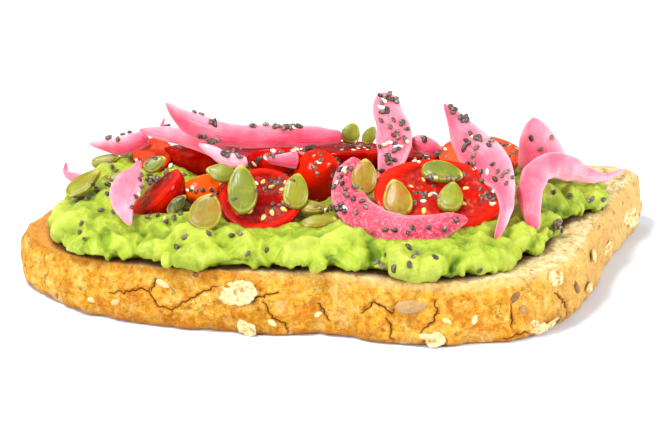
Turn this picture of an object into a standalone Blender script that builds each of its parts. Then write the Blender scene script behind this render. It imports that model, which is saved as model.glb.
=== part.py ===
"""Avocado toast: a slice of seeded country bread lying flat, spread thickly with mashed avocado and
topped with cherry tomato halves, slivers of pickled onion and shelled pumpkin seeds.

Metres, +Z up. The slice lies on z = 0 with its length along X. Its long, nearly straight crust faces
-Y, and the origin is under the middle of the slice.
"""

import math

import bmesh
import bpy
import numpy as np
from mathutils import Matrix, Vector
from mathutils.bvhtree import BVHTree

mm = 0.001
gap = 0.3 * mm  # left clear between pieces that touch

# The slice, seen from above: points on its crust, anticlockwise from the left end, in millimetres.
slice_outline = [
    (-85.3, -0.8), (-81.4, -10.0), (-74.5, -19.8), (-64.7, -27.8), (-52.0, -34.2), (-33.5, -39.2),
    (-14.7, -42.2), (-3.0, -40.9), (6.0, -46.0), (22.5, -49.2), (37.5, -47.3), (51.5, -40.6),
    (62.0, -25.8), (69.0, -3.0), (78.0, 23.0), (83.5, 34.0), (85.3, 40.5), (82.0, 46.0),
    (73.5, 47.6), (60.0, 47.8), (42.0, 49.2), (17.0, 49.2), (-8.0, 47.4), (-33.0, 43.4),
    (-51.0, 38.0), (-61.0, 33.0), (-69.0, 27.0), (-75.0, 20.5), (-80.0, 13.0), (-83.8, 7.0),
]
slice_thickness = 17.4 * mm  # where it is thickest, right of the middle
thickest_x = 15 * mm
left_end_loss = 3.6 * mm  # how much thinner the slice is at its left end
right_end_loss = 1.4 * mm
crust_points = 60
# The crust from the board up: how far in from the outline, and at what share of the thickness.
crust_profile = [(1.8, 0.0), (0.5, 0.07), (0.0, 0.3), (0.0, 0.62), (0.4, 0.86), (1.6, 0.97), (3.8, 1.0)]

# The edge of the spread on the bread, anticlockwise from the left, in millimetres.
spread_outline = [
    (-76.5, -1.0), (-75.0, -10.5), (-72.5, -20.0), (-67.0, -26.5), (-58.5, -31.5), (-51.0, -31.2),
    (-48.0, -35.4), (-40.0, -39.3), (-32.0, -40.2), (-24.0, -38.4), (-17.0, -39.8), (-5.0, -40.6),
    (4.0, -41.8), (11.5, -44.0), (18.0, -47.8), (25.5, -47.8), (33.0, -45.0), (39.0, -41.0),
    (45.0, -35.0), (49.0, -29.0), (53.5, -22.0), (55.5, -15.0), (60.5, -3.5), (66.5, 4.0),
    (71.5, 11.0), (72.5, 20.0), (69.5, 30.0), (62.0, 38.0), (50.0, 41.0), (34.0, 43.0),
    (16.0, 42.0), (-2.0, 41.0), (-20.0, 38.5), (-36.0, 35.0), (-50.0, 30.0), (-61.0, 24.5),
    (-69.0, 16.5), (-74.5, 8.0),
]
spread_points = 50
# The spread from its foot up: how far in from its outline, and how high above the bread, in millimetres.
spread_profile = [(2.0, 0.0), (0.4, 0.6), (0.0, 1.8), (0.8, 3.8), (3.2, 5.6), (7.6, 7.1)]
spread_thickness = 8.6 * mm  # in the middle
spread_lumps = 0.9 * mm  # how far its lumps rise and dip
# Where the spread is heaped up or pressed down: the middle, how far it reaches and how much, in millimetres.
spread_swells = [(-60, 12, 13, 4.0), (-6, -14, 9, -4.0), (-20, -24, 8, -2.2),
                 (25, -29, 9, -1.5), (66, 22, 14, -3.5)]

inner_rings = (0.78, 0.52, 0.26)  # rings across the top of the bread, as shares of its rim

# Tomato halves, skin side down: the middle of the cut face, the half length, half width and depth,
# then how far the face tilts from level, which way (0 is -Y, 90 is +X) and its turn in its own plane.
# Millimetres and degrees, and each one is pressed into those listed before it.
tomatoes = [
    ((25.5, -18.5, 30.0), (17.0, 11.5, 10.0), (32, 0, -6)),
    ((-20.5, -16.5, 28.0), (10.8, 10.4, 8.0), (32, 0, 0)),
    ((-48.4, -9.5, 27.0), (7.6, 9.0, 7.6), (42, -85, 0)),
    ((-5.7, 0.0, 27.6), (6.6, 9.6, 6.8), (-75, 0, 0)),
    ((1.4, 14.0, 32.0), (10.6, 8.5, 10.0), (-8, 0, 0)),
    ((-35.0, -7.5, 28.0), (6.8, 6.0, 6.0), (-55, 15, 0)),
    ((37.8, 11.0, 31.0), (11.5, 8.5, 9.0), (18, 20, 0)),
    ((-35.5, 18.5, 29.9), (12.0, 9.0, 9.0), (-25, 0, 0)),
    ((18.3, 12.0, 31.0), (8.5, 8.0, 9.5), (-8, 0, 0)),
    ((-15.3, 5.5, 31.9), (9.2, 7.0, 7.0), (-40, 0, 0)),
    ((-50.0, 15.0, 30.0), (5.2, 6.0, 7.0), (25, 0, 0)),
]
tomato_sides = 14

# Pumpkin seeds, pointed end along the turned axis: the middle, then length and width, then the pose.
pumpkin_seeds = [
    ((-30.7, -13.5, 34.0), (8.0, 4.6), (45, 0, 163)),
    ((-25.0, -20.5, 32.0), (13.7, 7.2), (48, 0, 93)),
    ((-34.0, -28.0, 28.5), (9.8, 8.4), (55, -10, 77)),
    ((-11.3, -16.5, 30.0), (10.2, 6.4), (45, 15, 75)),
    ((6.3, -14.6, 33.4), (9.6, 6.8), (55, 10, 81)),
    ((14.6, -21.5, 30.0), (10.6, 7.3), (45, -5, 104)),
    ((28.4, -21.3, 30.2), (9.6, 6.5), (32, 0, 81)),
    ((26.4, -14.3, 34.5), (10.9, 6.2), (32, 0, -13)),
    ((3.1, 14.0, 35.8), (5.8, 4.8), (60, 0, 75)),
    ((8.1, 14.0, 35.2), (5.5, 3.6), (60, 0, 60)),
    ((-67.5, -2.0, 27.3), (11.2, 5.1), (50, -30, 48)),
    ((-48.2, -7.0, 34.2), (6.4, 3.9), (50, -10, 36)),
    ((-63.0, 16.0, 27.3), (8.0, 3.4), (50, 0, 11)),
    ((-59.0, 5.0, 26.3), (5.8, 3.3), (50, 0, 27)),
    ((-7.0, -18.0, 26.0), (8.7, 3.5), (30, 0, -7)),
    ((-5.3, -27.0, 25.4), (9.2, 4.0), (30, 0, 13)),
    ((9.6, -17.0, 28.4), (5.0, 2.8), (60, 0, 119)),
    ((-42.0, -16.0, 26.0), (6.8, 3.6), (60, 0, 51)),
]
seed_thickness = 2.4 * mm

# Onion slivers: the route of the middle line, and the widths at equal steps along it. Millimetres.
upright = (0.0, -0.94, 0.34)  # the way the broad side of most slivers faces
leaning = (0.0, -0.8, 0.6)
onions = [
    ([(5.3, -6, 34.4), (2.2, -10, 32), (1.9, -16, 29), (4.4, -23, 26.2), (9.6, -28.5, 24.6),
      (15.7, -31.5, 24.2), (22.3, -31.5, 24.6), (27.9, -30.5, 26.1), (32.4, -29, 26.7)],
     (4.2, 6.6, 8.4, 9.2, 9.4, 9.2, 8.8, 8.0, 6.2, 1.4), leaning),
    ([(27.5, 2, 48), (30.8, 0, 43.5), (34.2, -3, 39), (38, -8, 35.7), (41, -14, 33.6), (42.5, -20, 31.6),
      (42.8, -25, 29.3), (41.6, -29, 26.2), (39.5, -32, 21.6)],
     (0.8, 5.0, 8.6, 11.0, 11.0, 8.4, 5.2, 3.6, 2.4, 1.2), upright),
    ([(11.9, 8, 49), (12.3, 6, 45.5), (14.2, 3, 40.3), (14.1, -1, 36), (12.5, -5, 32.5), (10.6, -9, 29)],
     (4.0, 7.4, 8.2, 9.6, 9.2, 7.2, 4.0, 1.6), upright),
    ([(49.6, -24, 21.8), (48.9, -20, 25.6), (48.9, -14, 28.8), (51.2, -6, 31.2), (56, 2, 30.6),
      (61.2, 9, 27.2), (66.4, 16, 23), (72.1, 21, 20.7), (77.4, 25, 21.3)],
     (2.6, 6.0, 7.0, 6.6, 7.0, 6.6, 4.8, 2.4, 0.8), upright),
    ([(-52.5, -4, 34), (-53.5, -9, 32.5), (-55, -16, 31), (-55.5, -22, 28.5), (-53.5, -28, 25)],
     (1.4, 3.0, 6.4, 7.8, 6.6, 4.0, 0.8), upright),
    ([(-45, -2.3, 49.3), (-41.5, -0.3, 44.8), (-35.5, 2.7, 40.3), (-28, 5.7, 37.8), (-18.5, 7.7, 36.8),
      (-8, 8.0, 36.7), (1, 7.7, 36.8)],
     (1.2, 4.6, 6.6, 6.4, 6.2, 6.2, 6.0, 5.4, 3.2), upright),
    ([(-53.5, 15, 36.2), (-48, 12, 36.2), (-39.5, 9, 35.7), (-30.5, 8.4, 32.9), (-23.5, 8.6, 31.4),
      (-17, 9, 31.3), (-12, 9, 32)],
     (0.6, 3.6, 4.6, 5.2, 6.4, 6.8, 5.6, 3.2), upright),
    ([(-37, 1, 37), (-33, -1, 35), (-29, -3, 33.6), (-24, -4, 33.1)], (0.6, 2.6, 3.4, 3.9, 3.0), upright),
    ([(-19, -2.4, 33.4), (-15, -3.4, 34), (-10.5, -3.4, 33.9)], (1.2, 3.4, 5.6), upright),
    ([(19, 4, 37.2), (22.5, 3, 36), (26.8, 2, 34.6)], (2.4, 4.6, 4.2, 2.2), upright),
    ([(51.8, 12, 41), (52.7, 11, 36.3), (53.8, 10, 31.8), (54.3, 8, 27)],
     (2.0, 6.8, 10.0, 12.0, 13.0, 12.0), upright),
    ([(-67.5, 18, 31), (-64, 17, 31), (-58.5, 17, 30.8), (-51.5, 17, 33.3)],
     (0.6, 3.2, 5.0, 5.2, 4.0), upright),
    ([(-46.5, 14, 40.5), (-47.5, 14, 37.5), (-49, 14, 35.6)], (0.4, 1.2, 2.4), upright),
    ([(-73, 8, 29.5), (-73, 7, 27), (-71, 6, 26), (-68, 4, 25.5)], (0.4, 1.6, 2.4, 1.6), upright),
]
onion_thickness = 1.7 * mm
onion_bulge = 0.12  # how far a sliver's middle stands out, as a share of its width
onion_step = 3.2 * mm  # between one cross-section of a sliver and the next


def material(name, colour, roughness):
    """A plain Principled material."""
    made = bpy.data.materials.new(name)
    made.use_nodes = True
    shader = made.node_tree.nodes["Principled BSDF"]
    shader.inputs["Base Color"].default_value = (*colour, 1.0)
    shader.inputs["Roughness"].default_value = roughness
    shader.inputs["Metallic"].default_value = 0.0
    return made


def add_object(name, mesh, finish):
    mesh.name = name
    made = bpy.data.objects.new(name, mesh)
    bpy.context.scene.collection.objects.link(made)
    if finish:
        mesh.materials.append(finish)
    return made


def as_cutter(cutter):
    """Marks an object as a tool that other pieces are cut with, and not a piece of the toast."""
    cutter.hide_render = True
    cutter.display_type = "WIRE"
    return cutter


def mesh_from_bmesh(shape):
    bmesh.ops.recalc_face_normals(shape, faces=shape.faces)
    mesh = bpy.data.meshes.new("shape")
    shape.to_mesh(mesh)
    shape.free()
    return mesh


def along_curve(points, count, closed):
    """Points at equal steps along the smooth curve (a Catmull-Rom spline) through the given ones."""
    points = np.array(points, float)
    if closed:
        padded = np.vstack([points[-1], points, points[:2]])
    else:
        padded = np.vstack([2 * points[0] - points[1], points, 2 * points[-1] - points[-2]])
    spans = len(padded) - 3
    at = np.linspace(0, spans, 30 * spans + 1)
    first = np.minimum(at.astype(int), spans - 1)
    t = (at - first)[:, None]
    before, start, end, after = (padded[first + k] for k in range(4))
    fine = 0.5 * (
        2 * start + (end - before) * t + (2 * before - 5 * start + 4 * end - after) * t**2
        + (3 * start - before - 3 * end + after) * t**3
    )
    travelled = np.concatenate([[0], np.cumsum(np.linalg.norm(np.diff(fine, axis=0), axis=1))])
    stops = np.linspace(0, travelled[-1], count, endpoint=not closed)
    return np.stack([np.interp(stops, travelled, axis) for axis in fine.T], axis=1)


def inset_outline(outline, distance):
    """An anticlockwise outline moved inwards by a distance, which may differ from point to point."""
    along = np.roll(outline, -1, axis=0) - np.roll(outline, 1, axis=0)
    inwards = np.stack([-along[:, 1], along[:, 0]], axis=1)
    inwards /= np.linalg.norm(inwards, axis=1, keepdims=True)
    return outline + inwards * np.reshape(distance, (-1, 1))


def bread_height(x):
    """Thickness of the slice at x: it thins towards both ends, and more at the left."""
    left = np.clip((thickest_x - x) / (100 * mm), 0, None) ** 3
    right = np.clip((x - thickest_x) / (71 * mm), 0, None) ** 2
    return slice_thickness - left_end_loss * left - right_end_loss * right


def lumps(x, y, size):
    """Uneven swells between about -1 and 1, from waves that cross at different angles."""
    u, v = x / size, y / size
    waves = np.sin(1.3 * u + 0.9 * v + 0.4) + np.sin(-0.8 * u + 1.7 * v + 2.1)
    waves += np.sin(2.3 * u - 0.6 * v + 4.0) + np.sin(0.5 * u + 2.6 * v + 5.2)
    return waves / 2.6


def stack_of_rings(rings, top_middle, bottom_middle):
    """A closed skin over rings of the same number of points, listed from the bottom to the top."""
    shape = bmesh.new()
    loops = [[shape.verts.new(point) for point in ring] for ring in rings]
    count = len(loops[0])
    for lower, upper in zip(loops, loops[1:]):
        for k in range(count):
            after = (k + 1) % count
            shape.faces.new((lower[k], lower[after], upper[after], upper[k]))
    for loop, middle in ((loops[0], bottom_middle), (loops[-1], top_middle)):
        if middle is None:
            shape.faces.new(loop)
            continue
        tip = shape.verts.new(middle)
        for k in range(count):
            shape.faces.new((loop[k], loop[(k + 1) % count], tip))
    return mesh_from_bmesh(shape)


def with_height(outline, height):
    return np.column_stack([outline, np.broadcast_to(height, len(outline))])


def bread():
    """The slice: a rounded crust round a top that is nearly flat, and a flat underside."""
    outline = along_curve(np.array(slice_outline) * mm, crust_points, closed=True)
    outline -= (outline.min(axis=0) + outline.max(axis=0)) / 2
    rings = []
    for inset, share in crust_profile:
        ring = inset_outline(outline, inset * mm)
        rings.append(with_height(ring, share * bread_height(ring[:, 0])))
    rim = rings[-1][:, :2]
    for share in inner_rings:
        rings.append(with_height(rim * share, bread_height(rim[:, 0] * share)))
    return stack_of_rings(rings, (0, 0, bread_height(0.0)), None)


def swell(x, y):
    """How much the heaps and dips add to the spread at a place."""
    total = 0
    for middle_x, middle_y, reach, height in spread_swells:
        far = np.hypot(x / mm - middle_x, y / mm - middle_y) / reach
        total = total + height * mm * np.exp(-far**2)
    return total


def spread():
    """The mashed avocado: a lumpy layer whose underside follows the top of the bread, with the gap."""
    outline = along_curve(np.array(spread_outline) * mm, spread_points, closed=True)
    foot = inset_outline(outline, spread_profile[0][0] * mm)
    rings = []
    for share in reversed(inner_rings):
        rings.append(with_height(foot * share, bread_height(foot[:, 0] * share) + gap))
    for inset, height in spread_profile:
        ring = inset_outline(outline, inset * mm)
        rise = height * mm * (1 + 0.1 * lumps(ring[:, 0], ring[:, 1], 5 * mm))
        rise += swell(ring[:, 0], ring[:, 1]) * height * mm / spread_thickness
        rings.append(with_height(ring, bread_height(ring[:, 0]) + gap + rise))
    shoulder = rings[-1][:, :2]
    for share in (0.84, 0.58, 0.3):
        ring = shoulder * share
        rise = spread_thickness + spread_lumps * lumps(ring[:, 0], ring[:, 1], 9 * mm)
        rise += swell(ring[:, 0], ring[:, 1])
        rings.append(with_height(ring, bread_height(ring[:, 0]) + rise))
    middle = bread_height(0.0)
    return stack_of_rings(rings, (0, 0, middle + spread_thickness), (0, 0, middle + gap))


def turned(pose):
    """The rotation of a piece whose face tilts from level, towards a bearing, after a turn on itself."""
    tilt, towards, turn = (math.radians(angle) for angle in pose)
    return Matrix.Rotation(towards, 3, "Z") @ Matrix.Rotation(tilt, 3, "X") @ Matrix.Rotation(turn, 3, "Z")


def tomato_half(size, grow=0.0):
    """Half of an egg shape, round side down, with its cut face on z = 0."""
    shape = bmesh.new()
    bmesh.ops.create_uvsphere(shape, u_segments=tomato_sides, v_segments=10, radius=1)
    half_length, half_width, depth = (value * mm + grow for value in size)
    bmesh.ops.scale(shape, vec=(half_length, half_width, depth), verts=shape.verts)
    everything = shape.verts[:] + shape.edges[:] + shape.faces[:]
    cut = bmesh.ops.bisect_plane(
        shape, geom=everything, dist=1e-6, plane_co=(0, 0, grow), plane_no=(0, 0, 1), clear_outer=True
    )
    rim = [part for part in cut["geom_cut"] if isinstance(part, bmesh.types.BMEdge)]
    bmesh.ops.edgeloop_fill(shape, edges=rim)
    return mesh_from_bmesh(shape)


def pumpkin_seed(size, grow=0.0):
    """A flat oval with one end drawn to a point, its length along X."""
    shape = bmesh.new()
    bmesh.ops.create_uvsphere(shape, u_segments=8, v_segments=5, radius=1)
    bmesh.ops.rotate(shape, verts=shape.verts, cent=(0, 0, 0), matrix=Matrix.Rotation(math.pi / 2, 3, "Y"))
    half_length, half_width = (value * mm / 2 + grow for value in size)
    for vert in shape.verts:
        narrowing = 1 - 0.22 * vert.co.x
        vert.co.x *= half_length
        vert.co.y *= half_width * narrowing
        vert.co.z *= seed_thickness / 2 + grow
    return mesh_from_bmesh(shape)


def onion_strip(route, widths, facing, grow=0.0):
    """The middle sheet of a sliver: three points across, the outer two at its edges."""
    route = np.array(route, float) * mm
    length = np.linalg.norm(np.diff(route, axis=0), axis=1).sum()
    count = max(6, round(length / onion_step))
    middle = along_curve(route, count, closed=False)
    middle[0] -= grow * unit(middle[1] - middle[0])
    middle[-1] += grow * unit(middle[-1] - middle[-2])
    along = unit(np.gradient(middle, axis=0))
    facing = unit(np.array(facing))
    outward = unit(facing - (along @ facing)[:, None] * along)
    across = np.cross(along, outward)
    steps = np.linspace(0, 1, len(widths))
    half = np.interp(np.linspace(0, 1, count), steps, widths) * mm / 2
    edge = (half + grow)[:, None] * across
    bulge = (onion_bulge * 2 * half)[:, None] * outward
    shape = bmesh.new()
    rows = np.stack([middle - edge, middle + bulge, middle + edge], axis=1)
    verts = [[shape.verts.new(point) for point in row] for row in rows]
    for here, there in zip(verts, verts[1:]):
        for k in range(2):
            shape.faces.new((here[k], here[k + 1], there[k + 1], there[k]))
    return mesh_from_bmesh(shape)


def unit(vectors):
    return vectors / np.linalg.norm(vectors, axis=-1, keepdims=True)


def give_thickness(sliver, thickness):
    solid = sliver.modifiers.new("thickness", "SOLIDIFY")
    solid.thickness = thickness
    solid.offset = 0.0


def skin_of(made, graph):
    """A search tree over an object's finished faces, in world coordinates."""
    finished = made.evaluated_get(graph)
    points = [made.matrix_world @ vert.co for vert in finished.data.vertices]
    return BVHTree.FromPolygons(points, [face.vertices[:] for face in finished.data.polygons])


def make_room(piece, cutters, skins):
    """Cuts away what a piece shares with its firmer neighbours, and the gap round them."""
    for cutter in cutters:
        if skins[piece.name].overlap(skins[cutter.name]):
            cut = piece.modifiers.new(cutter.name, "BOOLEAN")
            cut.operation = "DIFFERENCE"
            cut.solver = "EXACT"
            cut.object = cutter


def place(made, location, pose):
    made.location = Vector(location) * mm
    made.rotation_euler = turned(pose).to_euler()
    return made


def build():
    for old in list(bpy.data.objects):
        bpy.data.objects.remove(old, do_unlink=True)
    crust = material("bread crust", (0.72, 0.36, 0.10), 0.8)
    avocado = material("mashed avocado", (0.50, 0.68, 0.10), 0.45)
    tomato = material("cherry tomato", (0.62, 0.02, 0.01), 0.2)
    onion = material("pickled onion", (0.90, 0.35, 0.48), 0.35)
    seed = material("pumpkin seed", (0.36, 0.38, 0.08), 0.5)

    slice_of_bread = add_object("bread", bread(), crust)
    slice_of_bread.data.set_sharp_from_angle(angle=math.radians(40))
    layer = add_object("avocado_spread", spread(), avocado)

    # The firm pieces keep their whole shape, and each softer kind gives way to those before it:
    # pumpkin seeds first, then tomatoes, then onion, and the avocado gives way to everything.
    pieces, cutters = [], []
    for number, (location, size, pose) in enumerate(pumpkin_seeds, start=1):
        pieces.append(place(add_object(f"pumpkin_seed_{number}", pumpkin_seed(size), seed), location, pose))
        room = add_object(f"room for pumpkin seed {number}", pumpkin_seed(size, gap), None)
        cutters.append(as_cutter(place(room, location, pose)))
    for number, (location, size, pose) in enumerate(tomatoes, start=1):
        pieces.append(place(add_object(f"tomato_{number}", tomato_half(size), tomato), location, pose))
        room = add_object(f"room for tomato {number}", tomato_half(size, gap), None)
        cutters.append(as_cutter(place(room, location, pose)))
    for number, (route, widths, facing) in enumerate(onions, start=1):
        sliver = add_object(f"onion_{number}", onion_strip(route, widths, facing), onion)
        give_thickness(sliver, onion_thickness)
        pieces.append(sliver)
        strip = onion_strip(route, widths, facing, gap)
        room = as_cutter(add_object(f"room for onion {number}", strip, None))
        give_thickness(room, onion_thickness + 2 * gap)
        cutters.append(room)

    bpy.context.view_layer.update()
    graph = bpy.context.evaluated_depsgraph_get()
    skins = {made.name: skin_of(made, graph) for made in [layer, *pieces, *cutters]}
    for number, piece in enumerate(pieces):
        make_room(piece, cutters[:number], skins)
    make_room(layer, cutters, skins)


build()
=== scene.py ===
# Avocado toast: a slice of seeded country bread, mashed avocado, cherry tomato halves, slivers of
# pickled onion, shelled pumpkin seeds, and chia and other small seeds scattered over it all.
import math

import bpy
import numpy as np
from mathutils import Matrix, Vector
from mathutils.bvhtree import BVHTree


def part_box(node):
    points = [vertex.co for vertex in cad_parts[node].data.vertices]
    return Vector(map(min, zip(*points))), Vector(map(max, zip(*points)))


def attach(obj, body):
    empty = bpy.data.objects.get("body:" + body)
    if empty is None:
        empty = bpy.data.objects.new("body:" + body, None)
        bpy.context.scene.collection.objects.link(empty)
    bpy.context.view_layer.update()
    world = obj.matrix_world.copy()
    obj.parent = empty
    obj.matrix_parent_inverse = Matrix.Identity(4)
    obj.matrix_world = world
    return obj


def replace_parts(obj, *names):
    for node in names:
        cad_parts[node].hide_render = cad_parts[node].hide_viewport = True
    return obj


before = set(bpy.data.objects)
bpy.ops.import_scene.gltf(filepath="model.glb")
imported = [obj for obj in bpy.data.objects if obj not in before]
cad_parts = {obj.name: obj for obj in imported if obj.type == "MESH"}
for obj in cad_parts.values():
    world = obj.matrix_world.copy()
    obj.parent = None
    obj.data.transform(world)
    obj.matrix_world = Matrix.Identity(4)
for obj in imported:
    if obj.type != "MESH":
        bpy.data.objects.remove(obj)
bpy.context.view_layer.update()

mm = 0.001


def unit(vectors):
    # Each vector at a length of one
    return vectors / np.maximum(np.linalg.norm(vectors, axis=-1, keepdims=True), 1e-12)


def smoothStep(low, high, x):
    # 0 below low and 1 above high, with an even start and end between them
    t = np.clip((x - low) / (high - low), 0, 1)
    return t * t * (3 - 2 * t)


noiseTable = np.random.default_rng(7).permutation(256)
noiseSlopes = unit(np.random.default_rng(8).normal(size=(256, 3)))


def noise(points, size, seed=0):
    # Gradient noise, about -1 to 1: each corner of a lattice of that size has a random slope, and the
    # slopes' heights at a point are blended by how near each corner is
    at = points / size + 17.3 * seed
    cell = np.floor(at).astype(int)
    inside = at - cell
    blend = inside ** 3 * (inside * (inside * 6 - 15) + 10)
    total = np.zeros(points.shape[:-1])
    for corner in np.ndindex(2, 2, 2):
        x, y, z = np.moveaxis((cell + corner) & 255, -1, 0)
        slope = noiseSlopes[noiseTable[(noiseTable[(noiseTable[x] + y) & 255] + z) & 255]]
        weight = np.where(corner, blend, 1 - blend).prod(axis=-1)
        total += weight * ((inside - corner) * slope).sum(axis=-1)
    return 1.7 * total


def warped(points, size, amount, seed):
    # Points pushed about by three noises, so that a pattern read there loses its regular look
    push = [noise(points, size, seed + k) for k in range(3)]
    return points + amount * np.stack(push, axis=-1)


def alongCurve(points, count, closed=False, pace=None):
    # Points along the smooth curve (Catmull-Rom) through the given ones, at steps that are equal, or
    # that follow the pace, a function of the points: 2 there means steps half as long
    points = np.array(points, float)
    ends = (points[-1:], points[:2]) if closed else (2 * points[:1] - points[1:2],
                                                     2 * points[-1:] - points[-2:-1])
    padded = np.vstack([ends[0], points, ends[1]])
    spans = len(padded) - 3
    at = np.linspace(0, spans, 40 * spans + 1)
    first = np.minimum(at.astype(int), spans - 1)
    t = (at - first)[:, None]
    a, b, c, d = (padded[first + k] for k in range(4))
    fine = 0.5 * (2 * b + (c - a) * t + (2 * a - 5 * b + 4 * c - d) * t ** 2
                  + (3 * b - a - 3 * c + d) * t ** 3)
    steps = np.linalg.norm(np.diff(fine, axis=0), axis=1)
    if pace:
        steps = steps * pace((fine[1:] + fine[:-1]) / 2)
    travelled = np.concatenate([[0], np.cumsum(steps)])
    stops = np.linspace(0, travelled[-1], count, endpoint=not closed)
    return np.stack([np.interp(stops, travelled, axis) for axis in fine.T], axis=1)


def inwards(outline):
    # The way in from an anticlockwise outline, at each of its points
    along = unit(np.roll(outline, -2, axis=0) - np.roll(outline, 2, axis=0))
    return np.stack([-along[:, 1], along[:, 0]], axis=1)


def gridNormals(grid):
    # Normals of a grid whose columns close on themselves, from the cross product of its two directions
    up = np.gradient(grid, axis=0)
    around = np.roll(grid, -1, axis=1) - np.roll(grid, 1, axis=1)
    return unit(np.cross(around, up))


def makePiece(name, points, quads, triangles, finish, values=None):
    # A mesh from arrays of points and corner numbers; values are numbers kept at each point for the finish
    mesh = bpy.data.meshes.new(name)
    corners = np.concatenate([np.ravel(quads), np.ravel(triangles)]).astype(np.int32)
    sizes = np.repeat([4, 3], [len(quads), len(triangles)])
    mesh.vertices.add(len(points))
    mesh.vertices.foreach_set("co", np.ravel(points).astype(np.float32))
    mesh.loops.add(len(corners))
    mesh.loops.foreach_set("vertex_index", corners)
    mesh.polygons.add(len(sizes))
    mesh.polygons.foreach_set("loop_start", np.concatenate([[0], np.cumsum(sizes)[:-1]]).astype(np.int32))
    mesh.update(calc_edges=True)
    mesh.shade_smooth()
    for key, numbers in (values or {}).items():
        kept = mesh.attributes.new(key, "FLOAT", "POINT")
        kept.data.foreach_set("value", np.ravel(numbers).astype(np.float32))
    mesh.materials.append(finish)
    piece = bpy.data.objects.new(name, mesh)
    bpy.context.scene.collection.objects.link(piece)
    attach(piece, "root")
    return piece


def closedGrid(rows, columns, first=0):
    # Corner numbers of a grid that closes round its columns, with a fan to one more point at each end:
    # the points are the grid row by row, then the point at its start, then the one at its end
    here = first + np.arange(rows * columns).reshape(rows, columns)
    there = np.roll(here, -1, axis=1)
    quads = np.stack([here[:-1], there[:-1], there[1:], here[1:]], axis=-1).reshape(-1, 4)
    start = np.stack([there[0], here[0], np.full(columns, first + rows * columns)], axis=-1)
    end = np.stack([here[-1], there[-1], np.full(columns, first + rows * columns + 1)], axis=-1)
    return quads, np.concatenate([start, end])


def gridPiece(name, grid, finish, values=None):
    # A closed piece from a grid of points, whose two ends are closed on their own middles
    rows, columns = grid.shape[:2]
    ends = [grid[0].mean(axis=0), grid[-1].mean(axis=0)]
    quads, triangles = closedGrid(rows, columns)
    values = {key: np.concatenate([np.ravel(v), [np.mean(v[0]), np.mean(v[-1])]])
              for key, v in (values or {}).items()}
    return makePiece(name, np.vstack([grid.reshape(-1, 3), ends]), quads, triangles, finish, values)


def hexColour(code):
    # An sRGB hex colour as linear numbers
    srgb = np.array([int(code[k:k + 2], 16) for k in (1, 3, 5)]) / 255
    return (*np.where(srgb <= 0.04045, srgb / 12.92, ((srgb + 0.055) / 1.055) ** 2.4), 1.0)


def newFinish(name, **settings):
    # A material and its one shader; in a setting's name, _ stands for a space
    made = bpy.data.materials.new(name)
    made.use_nodes = True
    shader = made.node_tree.nodes["Principled BSDF"]
    for socket, value in settings.items():
        shader.inputs[socket.replace("_", " ")].default_value = value
    return made, made.node_tree, shader


def addNode(tree, kind, values=None, links=None, stops=None, **settings):
    # Adds a node: settings are its own, values go on its sockets, links bring other nodes' outputs to
    # them, and stops are a ramp's places and colours
    made = tree.nodes.new(kind)
    for key, value in settings.items():
        setattr(made, key, value)
    for socket, value in (values or {}).items():
        made.inputs[socket].default_value = value
    for socket, source in (links or {}).items():
        tree.links.new(source, made.inputs[socket])
    if stops:
        made.color_ramp.elements.remove(made.color_ramp.elements[1])
        for number, (place, colour) in enumerate(stops):
            stop = made.color_ramp.elements[0] if number == 0 else made.color_ramp.elements.new(place)
            stop.position = place
            stop.color = hexColour(colour) if isinstance(colour, str) else (colour, colour, colour, 1)
    return made


def nodeTree(node):
    # A search tree over one of the frame's solids
    return BVHTree.FromObject(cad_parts[node], bpy.context.evaluated_depsgraph_get())


def castOutline(tree, heightAt, rays=360):
    # The outline of a solid at a height, from rays cast inwards all round it; heightAt gives the
    # height for a place along X, which a first pass at its middle height finds. Neighbours are blended
    # by a short bell curve, which evens out the solid's facets
    angles = np.linspace(0, 2 * math.pi, rays, endpoint=False)
    reach = 0.12
    found = np.zeros((rays, 2))
    for step in range(2):
        for k, angle in enumerate(angles):
            height = heightAt(found[k][0])
            start = Vector((reach * math.cos(angle), reach * math.sin(angle), height))
            hit = tree.ray_cast(start, Vector((-math.cos(angle), -math.sin(angle), 0)))[0]
            found[k] = hit[:2]
    kernel = np.exp(-np.linspace(-2, 2, 9) ** 2)
    kernel /= kernel.sum()
    wrapped = np.vstack([found[-4:], found, found[:4]])
    return np.stack([np.convolve(axis, kernel, "valid") for axis in wrapped.T], axis=1)


# What the frame says: the solids whose outlines and heights the finer surfaces follow
breadTree = nodeTree("bread")
spreadTree = nodeTree("avocado_spread")
breadLow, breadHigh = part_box("bread")
heightStops = np.linspace(breadLow.x + 6 * mm, breadHigh.x - 6 * mm, 40)
middleLine = np.interp(heightStops, [breadLow.x, 0, breadHigh.x],
                       [0, 0, 38 * mm])  # it bends back at the right
heightFound = [breadTree.ray_cast(Vector((x, y, 0.1)), Vector((0, 0, -1)))[0].z
               for x, y in zip(heightStops, middleLine)]


def breadTop(x):
    # Height of the top of the bread, which changes only along the slice
    return np.interp(x, heightStops, heightFound)


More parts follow.
